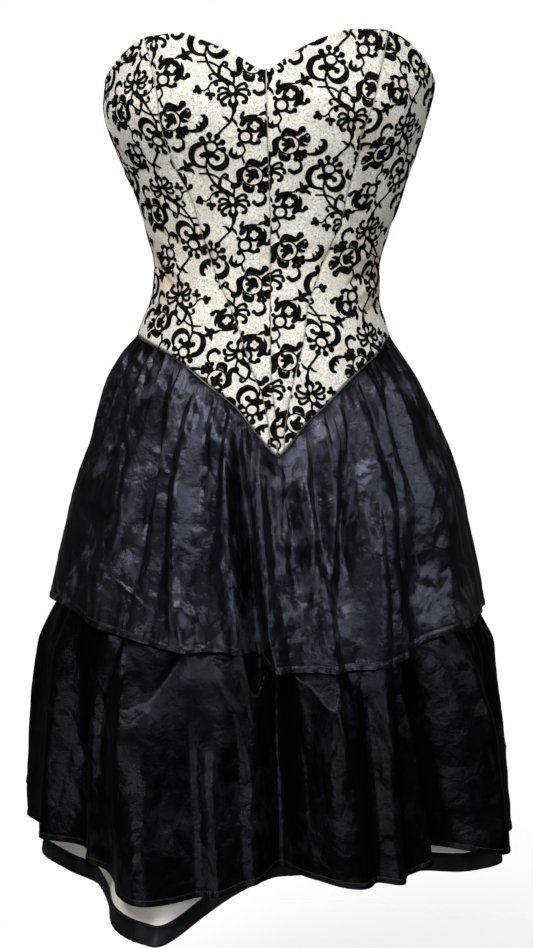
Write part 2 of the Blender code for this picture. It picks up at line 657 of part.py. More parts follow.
def build():
    for thing in list(bpy.data.objects):
        bpy.data.objects.remove(thing)
    for name in ("party_dress", "helpers"):
        bpy.context.scene.collection.children.link(bpy.data.collections.new(name))
    cotton, upper, lower, grey, band, tape, nylon, metal = (
        material(*finish)
        for finish in (
            FLOCKED_COTTON, UPPER_SATIN, LOWER_SATIN, GREY_LINING,
            BAND_SATIN, BLACK_TAPE, BLACK_NYLON, DARK_METAL,
        )
    )
    for panel in PANELS:
        bodice_panel(panel, cotton)
    half = SKIRT_COLUMNS // 2
    for name, start, end, columns in (
        ("upper_skirt_front", -90, 90, SKIRT_COLUMNS),
        ("upper_skirt_back_right", 90, 180, half),
        ("upper_skirt_back_left", 180, 270, half),
    ):
        skirt_piece(name, start, end, columns, UPPER_ROWS, upper_radius, upper_levels, SATIN_WALL, upper)
    for side, start, end in (("front", -90, 90), ("back", 90, 270)):
        skirt_piece(
            f"lower_skirt_{side}", start, end, SKIRT_COLUMNS, LOWER_ROWS,
            lower_radius, lower_levels, SATIN_WALL, lower,
        )
        skirt_piece(
            f"petticoat_{side}", start, end, PETTICOAT_COLUMNS, PETTICOAT_ROWS,
            petticoat_radius, petticoat_levels, PETTICOAT_WALL, grey,
        )
        skirt_piece(
            f"petticoat_band_{side}", start, end, PETTICOAT_COLUMNS, BAND_ROWS,
            petticoat_radius, band_levels, BAND_WALL, band,
        )
    zip_strip("zip_tape", TAPE_WIDE, -TAPE_GAP, TAPE_THICK, tape)
    zip_strip("zip_chain", CHAIN_WIDE, CHAIN_THICK - SEAM_GAP, CHAIN_THICK, nylon)
    slider_face = float(back_face(np.array(SLIDER_HEIGHT))) + CHAIN_THICK
    zip_slider(slider_face, metal)
    zip_pull(slider_face, metal)


UNDER_UPPER = reach_map(upper_radius, upper_levels, SATIN_WALL)
UNDER_LOWER = reach_map(lower_radius, lower_levels, SATIN_WALL)
build()
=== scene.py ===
"""Looks of a strapless two-tier party dress, filled out as it is worn, with nobody in it.

Metres, +Z up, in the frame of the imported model. The front faces -Y, and azimuth is the angle round Z
from the front towards the right, in degrees. The tables are in millimetres and degrees. Each layer of
cloth is the same distance from the Z axis as its solid, with its finer folds, creases and seams added.
"""

import math
from collections import namedtuple

import bpy
import numpy as np
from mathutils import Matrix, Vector, geometry


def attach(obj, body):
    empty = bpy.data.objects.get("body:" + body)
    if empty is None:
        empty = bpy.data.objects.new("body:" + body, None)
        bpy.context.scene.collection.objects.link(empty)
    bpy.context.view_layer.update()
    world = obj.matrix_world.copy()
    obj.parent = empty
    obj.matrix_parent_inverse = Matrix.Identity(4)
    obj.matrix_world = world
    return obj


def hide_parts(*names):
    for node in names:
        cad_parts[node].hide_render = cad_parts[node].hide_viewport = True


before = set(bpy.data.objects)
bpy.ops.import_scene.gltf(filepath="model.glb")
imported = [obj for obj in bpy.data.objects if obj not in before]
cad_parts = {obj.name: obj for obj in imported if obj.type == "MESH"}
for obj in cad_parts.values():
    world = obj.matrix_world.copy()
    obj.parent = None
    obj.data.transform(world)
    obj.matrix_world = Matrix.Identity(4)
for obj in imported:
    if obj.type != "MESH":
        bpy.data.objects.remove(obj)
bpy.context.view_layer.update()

MM = 0.001

# Walls and gaps
BODICE_WALL = 2.0 * MM
SATIN_WALL = 1.2 * MM
BAND_DEEP = 20.0 * MM
SEAM_GAP = 0.3 * MM
WAIST_GAP = 0.8 * MM
LAYER_ROOM = 4.0 * MM
ROOM_GROWS = 20 * MM
STEEPEST = 0.45

# Grid on which the room under a tier is mapped, and how many steps round a point count as close
MAP_TURN = 1.5
MAP_LIFT = 6 * MM
MAP_NEAR = 3
MAP_LOWEST = -0.63
MAP_HIGHEST = -0.05
MAP_AZIMUTHS = np.arange(-180.0, 180.0, MAP_TURN)
MAP_HEIGHTS = np.arange(MAP_LOWEST, MAP_HIGHEST, MAP_LIFT)

# Reach of each layer to the left, right, front and back, at a height
Section = namedtuple("Section", "height left right front back")
BODICE_SECTIONS = (
    Section(-170, 146, 142, 112, 120),
    Section(-110, 138, 134, 104, 112),
    Section(-65, 128, 122, 97, 98),
    Section(-25, 113, 111, 88, 87),
    Section(5, 110, 111, 86, 84),
    Section(35, 117, 119, 90, 87),
    Section(65, 125, 130, 96, 92),
    Section(95, 136, 138, 102, 98),
    Section(125, 147, 146, 108, 103),
    Section(155, 153, 153, 110, 104),
    Section(180, 151, 158, 106, 101),
    Section(232, 150, 158, 100, 94),
)
UPPER_SECTIONS = (
    Section(-370, 224, 222, 170, 173),
    Section(-335, 219, 217, 165, 169),
    Section(-300, 212, 209, 158, 164),
    Section(-265, 204, 201, 151, 158),
    Section(-230, 195, 194, 143, 152),
    Section(-200, 186, 185, 135, 146),
    Section(-170, 174, 174, 126, 138),
    Section(-140, 166, 162, 117, 129),
    Section(-110, 157, 149, 108, 118),
    Section(-80, 140, 131, 101, 106),
    Section(-60, 127, 121, 97, 98),
)
LOWER_SECTIONS = (
    Section(-575, 246, 248, 190, 186),
    Section(-515, 245, 243, 187, 184),
    Section(-470, 242, 238, 183, 182),
    Section(-435, 239, 234, 180, 180),
    Section(-400, 235, 229, 175, 177),
    Section(-370, 229, 225, 170, 173),
    Section(-345, 217, 213, 163, 166),
    Section(-320, 204, 202, 154, 158),
    Section(-300, 195, 193, 146, 151),
)

# The two rounded cups of the bodice
Cup = namedtuple("Cup", "azimuth height stand_out spread rise")
CUPS = (
    Cup(-46, 165, 20, 24, 42),
    Cup(46, 165, 20, 24, 42),
)

# Edges that run round the dress: the height at each azimuth, equal at both ends
Edge = namedtuple("Edge", "azimuth height")
TOP_EDGE = (
    Edge(-180, 165), Edge(-145, 167), Edge(-110, 173), Edge(-90, 181), Edge(-76, 190),
    Edge(-66, 207), Edge(-57, 220), Edge(-49, 223), Edge(-42, 225), Edge(-29, 217),
    Edge(-15, 205), Edge(-1, 191), Edge(13, 207), Edge(28, 221), Edge(42, 228),
    Edge(52, 228), Edge(61, 222), Edge(70, 206), Edge(78, 188), Edge(92, 178),
    Edge(112, 171), Edge(145, 167), Edge(180, 165),
)
WAIST_SEAM = (
    Edge(-180, -72), Edge(-120, -66), Edge(-81, -64), Edge(-67, -68), Edge(-47, -81),
    Edge(-31, -101), Edge(-15, -123), Edge(-6, -143), Edge(3, -164), Edge(6, -167),
    Edge(9, -162), Edge(18, -141), Edge(27, -126), Edge(50, -91), Edge(67, -75),
    Edge(80, -65), Edge(120, -66), Edge(180, -72),
)
UPPER_HEM = (
    Edge(-180, -346), Edge(-140, -342), Edge(-110, -334), Edge(-83, -320), Edge(-65, -324),
    Edge(-51, -335), Edge(-30, -345), Edge(-7, -346), Edge(0, -357), Edge(8, -362),
    Edge(22, -363), Edge(45, -358), Edge(58, -344), Edge(80, -340), Edge(120, -343),
    Edge(180, -346),
)
LOWER_HEM = (
    Edge(-180, -560), Edge(-116, -558), Edge(-80, -558), Edge(-50, -562), Edge(-26, -574),
    Edge(-4, -564), Edge(5, -557), Edge(25, -562), Edge(37, -566), Edge(57, -556),
    Edge(66, -564), Edge(90, -560), Edge(130, -562), Edge(180, -560),
)

# Seams of the bodice, listed from the bottom up
Seam = namedtuple("Seam", "height azimuth")
CENTRE_FRONT = (
    Seam(-172, 5.6), Seam(-143, 5.1), Seam(-126, 4.4), Seam(-99, 2.9), Seam(-70, 2.4), Seam(43, 2.3),
    Seam(117, 0.7), Seam(232, -0.7),
)
LEFT_PRINCESS = (
    Seam(-172, 2.4), Seam(-141, 1.2), Seam(-111, -2.3), Seam(-85, -8.4), Seam(-55, -14.8),
    Seam(-26, -23.4), Seam(3, -32.6), Seam(24, -37), Seam(72, -40.5), Seam(105, -44.4),
    Seam(158, -43.7), Seam(183, -47.2), Seam(232, -60),
)
RIGHT_PRINCESS = (
    Seam(-172, 8.8), Seam(-147, 8.8), Seam(-132, 10), Seam(-109, 12.8), Seam(-81, 17.1),
    Seam(-60, 21.2), Seam(-25, 26.2), Seam(0, 32.8), Seam(25, 38.4), Seam(54, 42.6),
    Seam(104, 42.6), Seam(131, 41.2), Seam(166, 43.8), Seam(232, 57),
)
LEFT_SIDE = (Seam(-110, -93), Seam(232, -96))
RIGHT_SIDE = (Seam(-110, 93), Seam(232, 94))
LEFT_BACK = (Seam(-110, -138), Seam(0, -142), Seam(232, -136))
RIGHT_BACK = (Seam(-110, 138), Seam(0, 142), Seam(232, 136))
CENTRE_BACK = (Seam(-110, 180), Seam(232, 180))

# Panels of the bodice, with the seams that each one runs between as its azimuth grows
Panel = namedtuple("Panel", "name first last")
PANELS = (
    Panel("bodice_front_left", LEFT_PRINCESS, CENTRE_FRONT),
    Panel("bodice_front_right", CENTRE_FRONT, RIGHT_PRINCESS),
    Panel("bodice_side_front_left", LEFT_SIDE, LEFT_PRINCESS),
    Panel("bodice_side_front_right", RIGHT_PRINCESS, RIGHT_SIDE),
    Panel("bodice_side_back_left", LEFT_BACK, LEFT_SIDE),
    Panel("bodice_side_back_right", RIGHT_SIDE, RIGHT_BACK),
    Panel("bodice_back_left", CENTRE_BACK, LEFT_BACK),
    Panel("bodice_back_right", RIGHT_BACK, CENTRE_BACK),
)

# Hanging folds: where each lies at the seam and at the hem, how wide, how far it stands out or sinks
# in, and between which shares of the drop from seam to hem
Fold = namedtuple("Fold", "top hem half_width stand_out begins ends")
UPPER_FOLDS = (
    Fold(-79, -66, 6, -7, 0.0, 0.7),
    Fold(-72, -77, 7, 5, 0.1, 2.0),
    Fold(-60, -56, 7, 7, 0.05, 2.0),
    Fold(-50, -44, 5, -10, 0.02, 0.9),
    Fold(-39, -26, 6, 10, 0.05, 1.2),
    Fold(-28, -22, 5, -8, 0.0, 0.7),
    Fold(-18, -10, 5, 7, 0.05, 1.3),
    Fold(-14, -3, 6, -32, 0.05, 2.0),
    Fold(-6, 3, 6, 14, 0.05, 2.0),
    Fold(7, 13, 5, -9, 0.0, 0.8),
    Fold(13, 21, 5, 10, 0.05, 2.0),
    Fold(21, 19, 5, -10, 0.0, 0.8),
    Fold(38, 22, 6, -14, 0.02, 0.9),
    Fold(48, 36, 9, 8, 0.05, 2.0),
    Fold(63, 50, 5, -8, 0.0, 0.6),
    Fold(56, 52, 8, -12, 0.35, 2.0),
    Fold(75, 68, 9, 6, 0.2, 2.0),
    Fold(92, 95, 7, 6, 0.1, 2.0),
    Fold(104, 102, 6, -9, 0.05, 2.0),
    Fold(118, 115, 8, 8, 0.1, 2.0),
    Fold(131, 134, 6, -13, 0.05, 2.0),
    Fold(145, 142, 7, 9, 0.1, 1.2),
    Fold(157, 160, 6, -9, 0.05, 2.0),
    Fold(168, 170, 6, 7, 0.1, 2.0),
    Fold(-178, -177, 6, -9, 0.3, 2.0),
    Fold(-97, -99, 7, -8, 0.05, 2.0),
    Fold(-110, -106, 8, 8, 0.1, 2.0),
    Fold(-124, -128, 6, -12, 0.05, 2.0),
    Fold(-138, -135, 8, 9, 0.1, 1.3),
    Fold(-152, -156, 6, -10, 0.05, 2.0),
    Fold(-166, -163, 7, 8, 0.1, 2.0),
)
LOWER_FOLDS = (
    Fold(-128, -116, 17, 54, 0.0, 2.0),
    Fold(-98, -96, 8, -8, 0.0, 2.0),
    Fold(-78, -80, 10, -14, 0.0, 2.0),
    Fold(-62, -62, 11, -26, 0.0, 2.0),
    Fold(-36, -30, 17, 47, 0.0, 2.0),
    Fold(-18, -13, 7, 17, 0.1, 2.0),
    Fold(2, 5, 9, -34, 0.0, 2.0),
    Fold(18, 23, 11, 27, 0.0, 2.0),
    Fold(32, 35, 6, 18, 0.1, 2.0),
    Fold(48, 56, 9, -40, 0.0, 2.0),
    Fold(62, 67, 8, 24, 0.1, 2.0),
    Fold(84, 82, 7, 6, 0.1, 2.0),
    Fold(104, 103, 9, -14, 0.0, 2.0),
    Fold(120, 118, 9, 16, 0.0, 2.0),
    Fold(136, 135, 9, -18, 0.0, 2.0),
    Fold(150, 151, 9, 18, 0.0, 2.0),
    Fold(166, 166, 8, -14, 0.0, 2.0),
    Fold(180, -178, 8, 14, 0.0, 2.0),
    Fold(-164, -162, 8, -15, 0.0, 2.0),
    Fold(-146, -143, 9, -12, 0.0, 2.0),
)

# The petticoat's free hem, which hangs limp under the lower tier
HemPoint = namedtuple("HemPoint", "azimuth reach height")
PETTICOAT_HEM = (
    HemPoint(-180, 176, -610), HemPoint(-150, 190, -611), HemPoint(-120, 222, -612),
    HemPoint(-100, 240, -612), HemPoint(-84, 206, -612), HemPoint(-70, 180, -613),
    HemPoint(-54, 192, -614), HemPoint(-40, 224, -616), HemPoint(-30, 233, -617),
    HemPoint(-25, 228, -616), HemPoint(-20, 182, -604), HemPoint(-13, 152, -592),
    HemPoint(2, 122, -583), HemPoint(14, 120, -582), HemPoint(40, 150, -588),
    HemPoint(60, 156, -596), HemPoint(71, 172, -600), HemPoint(77, 210, -604),
    HemPoint(84, 243, -602), HemPoint(98, 238, -603), HemPoint(120, 205, -608),
    HemPoint(150, 196, -611), HemPoint(180, 176, -610),
)

# Small gathers, as many round each tier as the photograph has
GATHERS_ROUND = 40
UPPER_GATHER = 2.6 * MM
LOWER_GATHER = 3.0 * MM
LOWER_TOP = -300 * MM

# Shares of the drop over which a fold grows and fades, and over which a gather grows and flattens
FOLD_GROWS = 0.45
FOLD_FADES = 0.35
GATHER_GROWS = 0.08
GATHER_FLATTENS = (0.15, 0.8)
GATHER_LOST = 0.7
STEP_OUT_GROWS = 0.16

# How far a lower layer may spread for each metre that it hangs below the hem over it
SPREAD_BELOW_HEM = 1.1

# Heights that a panel's rows start from, and how many times they are settled on its edges
FIRST_TOP = 200 * MM
FIRST_BOTTOM = -80 * MM
SETTLE_STEPS = 12
TIER_SETTLE_STEPS = 3

# Centre back zip, closed, with the cloth calm beside and below it
ZIP_BOTTOM = -128 * MM
ZIP_BELOW_EDGE = 2 * MM
ZIP_SLOT = 6.0 * MM
ZIP_SLOT_FADES = 8 * MM
TAPE_THICK = 0.8 * MM
TAPE_GAP = 0.6 * MM
CHAIN_THICK = 1.7 * MM
CALM_AZIMUTH = 9.0
CALM_BELOW = 48 * MM
TEETH_PITCH = 1.5
TEETH_ASIDE = 1.05 * MM
TOOTH_SIZE = (2.3, 2.3, 1.1)
TEETH_BELOW_TOP = 3.5
TEETH_ABOVE_BOTTOM = 3 * MM

# Stitches: pitch and size of each thread, across, out and along, in millimetres
TOP_STITCH_DOWN = 6 * MM
TOP_STITCH_PITCH = 2.6
TOP_STITCH_SIZE = (0.5, 0.5, 2.0)
HEM_STITCH_PITCH = 2.8
HEM_STITCH_SIZE = (0.55, 0.55, 2.1)
BAND_STITCH_DOWN = 1.4 * MM
STITCH_UNEVENNESS = 0.12
LINE_POINTS = 60
HEM_LINE_POINTS = 6
HEM_LINE_ENDS = 0.4
THREAD_OUT = 0.12 * MM

# Turned-up hems: how deep, how thick, and how much they draw in and pucker along their stitches
UPPER_HEM_DEEP = 6 * MM
LOWER_HEM_DEEP = 5.5 * MM
HEM_THICK = 0.5 * MM
HEM_STEP = 0.8 * MM
HEM_DRAWN_IN = 0.55 * MM
HEM_DRAWN_WIDE = 1.1 * MM
HEM_PUCKER = 0.35 * MM
HEM_PUCKER_WIDE = 4 * MM

# How far the cloth swells between its creases, and over what length
UPPER_SWELL = 0.7 * MM
UPPER_SWELL_LONG = 45
LOWER_SWELL = 0.8 * MM
LOWER_SWELL_LONG = 50
PETTICOAT_SWELL = 0.5 * MM
PETTICOAT_SWELL_LONG = 40
BODICE_SWELL = 0.35 * MM
BODICE_SWELL_LONG = 36

# How deep and wide the cloth turns in at the seams, at the top stitching and at the band's edges
SIDE_SEAM_DEEP = 0.8 * MM
SIDE_SEAM_WIDE = 1.6 * MM
PRINCESS_SEAM_DEEP = 0.9 * MM
WAIST_SEAM_DEEP = 0.7 * MM
BODICE_SEAM_WIDE = 1.5 * MM
TOP_STITCH_DEEP = 0.45 * MM
TOP_STITCH_WIDE = 1.0 * MM
TOP_PUCKER = 0.18 * MM
TOP_PUCKER_WIDE = 4 * MM
BAND_EDGE_DEEP = 0.8 * MM
BAND_PUCKER = 0.22 * MM

# Shade in the puckers under each tier's top edge, and in the seams of the bodice
PUCKER_SHADE = 0.95
PUCKER_SHADE_DEEP = 7 * MM
PANEL_SHADE = 0.5
PANEL_SHADE_WIDE = 1.1 * MM
WAIST_SHADE = 0.97
WAIST_SHADE_WIDE = 2.4 * MM

# Colours, linear
COTTON_CREAM = (0.575, 0.555, 0.495)
COTTON_PALE = (0.70, 0.685, 0.63)
COTTON_GREY = (0.20, 0.19, 0.17)
COTTON_CLOUD = (0.42, 0.415, 0.395)
# Tan of random clouds, and of the painted shade in the bodice's folds
TAN_AND_FOLD_SHADE = (0.40, 0.325, 0.225)
SEAM_SHADE = (0.020, 0.018, 0.016)
FLOCK_BLACK = (0.0009, 0.0009, 0.0011)
FLOCK_DUSTY = (0.0034, 0.0034, 0.0040)
# Satin colours, each from dark to pale; the palest is a painted sheen
UPPER_DARK = (0.0006, 0.0006, 0.0010)
UPPER_MIDDLE = (0.0026, 0.0026, 0.0042)
UPPER_PAINTED_SHEEN = (0.036, 0.036, 0.050)
# The lower satin's colours: the upper satin's, darker with painted shade for the tier that hangs under it;
# the palest is a painted sheen
LOWER_SHADED_DARK = (0.0003, 0.0003, 0.0005)
LOWER_SHADED_MIDDLE = (0.0006, 0.0006, 0.0010)
LOWER_SHADED_SHEEN = (0.0060, 0.0060, 0.0085)
CREAM_THREAD = (0.50, 0.475, 0.41)
BLACK_THREAD = (0.012, 0.012, 0.015)
TAPE_BLACK = (0.006, 0.006, 0.007)
NYLON_BLACK = (0.009, 0.009, 0.010)
METAL_DARK = (0.10, 0.10, 0.105)
# The band's palest colour is a painted sheen too
BAND_DARK = (0.0022, 0.0030, 0.0034)
BAND_MIDDLE = (0.0050, 0.0062, 0.0068)
BAND_PAINTED_SHEEN = (0.013, 0.015, 0.016)
LINING_DARK = (0.36, 0.335, 0.315)
LINING_PALE = (0.50, 0.47, 0.445)
SATIN_BLOOM = (0.70, 0.74, 1.0)
FLOOR_PALE = (0.82, 0.82, 0.82)
FLOOR_SHADE = (0.79, 0.79, 0.79)

# Threads of each weave, as waves in a metre of cloth divided by the wave texture's own count
COTTON_THREADS = 260.0
SATIN_THREADS = 420.0

# Satins: colours from dark to pale, the palest a painted sheen, roughness where it shines and where it is
# dull, index of its gloss, depth of its crumples, and scale of its patches of painted sheen
Satin = namedtuple("Satin", "name colours roughness gloss_index crumpled patches")
SATINS = (
    Satin("upper_satin", (UPPER_DARK, UPPER_MIDDLE, UPPER_PAINTED_SHEEN), (0.22, 0.40), 1.36, 0.018, 30.0),
    # The lower satin is a darker, less glossy copy of the upper one, with painted shade
    Satin("lower_satin", (LOWER_SHADED_DARK, LOWER_SHADED_MIDDLE, LOWER_SHADED_SHEEN), (0.22, 0.42), 1.19, 0.017, 16.0),
    Satin("band_satin", (BAND_DARK, BAND_MIDDLE, BAND_PAINTED_SHEEN), (0.36, 0.5), 1.3, 0.002, 30.0),
)
SATIN_STOPS = (0.36, 0.54, 0.76)

# Studio: each softbox's place, aim, diameter, power and colour
Softbox = namedtuple("Softbox", "name at looks_at size power colour")
SOFTBOXES = (
    Softbox("key", (-1.0, -2.2, 2.3), (0, 0, 0.0), 1.2, 165, (1.0, 0.985, 0.96)),
    Softbox("fill", (1.9, -2.2, 0.9), (0, 0, -0.1), 1.4, 52, (0.96, 0.98, 1.0)),
    Softbox("back", (0.4, 2.4, 1.6), (0, 0, -0.1), 1.4, 75, (1.0, 1.0, 1.0)),
    Softbox("low", (-0.7, -1.7, -0.75), (0, 0, -0.6), 0.35, 11, (1.0, 0.985, 0.97)),
)
SKY_WHITE = (1.0, 1.0, 1.0)
SKY_SEEN = 1.0
SKY_LIGHT = 0.05
FLOOR_FADES = (0.5, 1.5)
FLOOR_REACH = 3.2
FLOOR_SIDES = 64
FLOOR_RINGS = 12

# Camera of the photograph
CAMERA_AT = (0, -2.0, 0.15)
CAMERA_LOOKS_AT = (0, 0, -0.204)
CAMERA_LENS = 77.1
FLOOR_HEIGHT = -0.95

# Thin shells that show the cloth: thickness of each, and of the cotton under its flock
COTTON_SHELL = 1.2 * MM
SATIN_SHELL = 0.8 * MM
PETTICOAT_SHELL = 0.8 * MM
BAND_SHELL = 1.1 * MM

# How finely each shell is divided: rows, then columns of each piece. All are even, because the inner face
# takes every other one
UPPER_GRID = (160, 336, 150)
LOWER_GRID = (124, 330, 220)
LOWER_HIDDEN_ROWS = 14
PETTICOAT_GRID = (60, 160)
PETTICOAT_HIDDEN_ROWS = (12, 20)
BAND_GRID = (12, 240)
BODICE_CELL = 2.3 * MM
SHARP_CLOTH = math.radians(60)
SHARP_FLOCK = math.radians(50)

# The flocked pattern, in millimetres with y up. Each motif is drawn in order: a shape with ink lays flock,
# and one without bares the cotton again
Line = namedtuple("Line", "ink path widths")
Spot = namedtuple("Spot", "ink x y across up turn")
REPEAT_WIDE = 84
REPEAT_TALL = 114


def bulb(path, widths, size):
    """A line that ends in a round bulb."""
    return Line(True, path, widths), Spot(True, *path[-1], size, size, 0)


def arc(x, y, radius, start, end, widths):
    """A line along part of a circle, as wide at each step as said."""
    angles = np.radians(np.linspace(start, end, len(widths)))
    return Line(True, tuple((x + radius * math.cos(a), y + radius * math.sin(a)) for a in angles), widths)


def petals(angles, near, far, widths, size):
    """Straight petals round a middle, each ending in a bulb."""
    made = []
    for angle in np.radians(angles):
        reaches = (near, (near + far) / 2, far)
        path = tuple((reach * math.cos(angle), reach * math.sin(angle)) for reach in reaches)
        made.extend(bulb(path, widths, size))
    return tuple(made)


STAR_FLOWER = (
    Line(True, ((-1, 6), (-6, 11), (-13, 15), (-19, 20.5), (-24, 28), (-26.5, 36)), (6.5, 5, 3, 2, 1.6, 1.3)),
    Line(True, ((0.5, 8), (1.5, 15), (-2, 22), (-11, 28)), (2, 1.5, 1.5, 1.6)),
    Line(True, ((-9, 13), (-13.5, 18), (-13.6, 23), (-11, 28)), (3, 2.4, 2.2, 2)),
    Line(True, ((-13, 19), (-13.2, 25), (-23, 30.5), (-35, 31)), (1.4, 1.5, 1.5, 1.3)),
    *bulb(((-11, 28), (-8.5, 30.6), (-5.4, 29.4), (-6.2, 27)), (1.8, 1.8, 2.0, 2.2), 1.7),
    *bulb(((-17, 18), (-21, 18.6), (-23.4, 16.2), (-21.6, 14)), (1.3, 1.4, 1.8, 2.0), 1.4),
    Line(True, ((-5, 11), (-12, 12), (-19.5, 10.5), (-24, 5), (-22.6, -0.5)), (3, 2.2, 1.6, 1.2, 1.1)),
    *bulb(((-18, 11), (-16.6, 8.4)), (2, 2.4), 2.2),
    Line(True, ((-24, 5), (-28, 1.8), (-32, 2.4)), (1.2, 1.2, 1.2)),
    Spot(True, -35.4, 5.2, 2.3, 2.1, 0),
    Spot(True, -37.4, 1.6, 2.4, 1.8, 40),
    Spot(True, -33.4, 0.2, 2.2, 1.9, 0),
    Spot(True, -34.0, 3.0, 2.4, 2.2, 0),
    Spot(True, -25.2, -1.6, 2.5, 1.7, 20),
    Spot(True, -19.8, -2.0, 2.5, 1.7, -20),
    Spot(True, -22.2, -5.2, 1.8, 2.6, 0),
    Spot(True, -22.4, -2.4, 2.0, 2.0, 0),
    *bulb(((3, 4), (8, 8), (12.5, 9), (13.8, 6.4)), (2.4, 2.1, 2.3, 2.6), 1.6),
    *bulb(((4, 1.5), (10, 3.2), (15.4, 2.0), (16.4, -1.6)), (2.6, 2.1, 2.4, 2.8), 1.8),
    *bulb(((4, -1), (9.6, -2.2), (13.8, -5.6), (12.6, -9.6), (10.6, -9.8)), (2.8, 2.5, 2.8, 3.0, 2.6), 1.6),
    *bulb(((-4, 2), (-9, 4.6), (-13, 3.9), (-14, 1.4)), (2.4, 2.0, 2.0, 2.2), 1.4),
    *bulb(((-4, -0.5), (-9, -0.8), (-13.6, -2.8), (-14.4, -6.4)), (2.6, 2.2, 2.4, 2.6), 1.7),
    *bulb(
        ((-3, -2.5), (-7.6, -5), (-11.4, -9), (-9.4, -12.6), (-7.4, -12.2)),
        (2.8, 2.6, 2.9, 3.0, 2.4), 1.6,
    ),
    Spot(True, 0, 0.6, 5.2, 7.6, 12),
    Spot(True, 0.4, -10.4, 5.1, 4.8, 0),
    Line(True, ((0.6, -13), (1.4, -17.5), (0.4, -22)), (4.4, 3.8, 1.8)),
    Spot(False, -0.9, 3.6, 2.3, 3.9, 24),
    Spot(False, 0.3, -7.0, 1.7, 3.7, 0),
)
STEM = (
    Line(True, ((0.4, -21), (-2.5, -29), (-9.5, -36), (-15, -42)), (1.6, 1.7, 1.6, 1.8)),
    Line(True, ((-3, -29.5), (-6.5, -25.5), (-10.5, -24)), (2.2, 2.2, 0.6)),
    Line(True, ((-1.6, -26), (2.5, -29.5), (4.6, -34)), (2.0, 2.4, 0.6)),
)
BULB_FLOWER = (
    *petals((-12, 24, 60, 98, 138), 5, 12.6, (2.6, 2.1, 3.2), 2.9),
    Spot(True, 0, 0, 7.1, 6.8, 0),
    Spot(True, -3, -8, 4.6, 3.8, 20),
    *bulb(((-3, -8), (-7, -6.6), (-9.6, -8.4)), (3.2, 3.0, 3.6), 2.5),
    *bulb(((-1, -9), (3.4, -9), (6.2, -11.4)), (3.2, 3.2, 3.8), 2.7),
    arc(-8.6, -8.6, 12.4, 72, 288, (1.2, 3.6, 6.0, 6.2, 4.4, 2.4, 1.2)),
    Line(True, ((-11, 1.4), (-14.6, -0.6)), (2.2, 0.6)),
    arc(6.4, -12.4, 9.8, 176, 400, (1.2, 2.2, 4.4, 6.4, 6.2, 4.2, 1.4)),
    Line(True, ((-3.6, -11), (-5.4, -20), (-3.4, -29), (1.5, -36)), (2.2, 1.5, 1.4, 1.6)),
    Spot(False, 0.3, 0.2, 4.9, 4.3, -20),
)
CLOVER_SCROLL = (
    Line(
        True, ((-13, 1.4), (-9.4, 6.2), (-3, 7.4), (4, 6.4), (8.6, 1), (8.2, -6.6), (4.6, -11)),
        (4.4, 6, 7, 7.6, 8.4, 7, 4),
    ),
    Spot(True, 0, 0, 7.6, 7, 0),
    Line(True, ((-10, 5), (-13, 8.8), (-11.4, 13)), (4, 3.6, 2.2)),
    *bulb(((6, -3), (9.4, -8), (14, -9.6), (17, -6.8)), (5, 4, 2.8, 2.8), 2.5),
    Line(True, ((3, 7), (7, 12), (12, 13)), (2.4, 2.6, 3)),
    Spot(True, 13.6, 12.4, 3.7, 3.5, 0),
    Line(True, ((13, 14), (12, 18.4), (10, 22)), (3.2, 3.2, 0.6)),
    Line(True, ((15, 12), (19.4, 10), (22, 6.6)), (3.2, 3, 0.6)),
    Spot(True, 16.6, 15.8, 2.7, 2.3, 30),
    Line(True, ((16, 16), (24, 16), (33, 13)), (1.4, 1.5, 1.4)),
    Spot(True, -9.4, -11, 7.3, 7, 0),
    Line(True, ((-8, -6), (-5.4, -2)), (4, 5)),
    *bulb(((-13, -6.6), (-16, -4.2)), (3, 2.4), 1.8),
    *bulb(((-13, -15.6), (-15.4, -19)), (3, 3.2), 2.5),
    *bulb(((-5.2, -16), (-0.4, -18.2), (3.8, -16.4)), (3, 2.6, 2.8), 2.4),
    Line(True, ((-12.6, -18), (-9.6, -25), (-12.6, -31), (-10.4, -38)), (1.8, 1.4, 1.4, 2)),
    Line(True, ((-12, -30), (-18.4, -32.6), (-24, -29), (-22.8, -23)), (1.4, 3.8, 4.4, 1.6)),
    Line(True, ((-19, -31), (-18, -26.4)), (3.2, 0.6)),
    Line(False, ((2.2, 9.4), (7.8, 8.4), (9.4, 3.4)), (0.6, 3.0, 0.6)),
    Spot(False, 2.4, 0.5, 2.1, 2.0, 0),
    Spot(False, -2.3, -0.3, 2.1, 2.0, 0),
    Spot(False, -0.2, 2.5, 2.0, 2.1, 0),
    Spot(False, 0.3, -2.3, 2.0, 2.1, 0),
    Spot(False, -9.4, -11, 4.8, 4.6, 0),
)
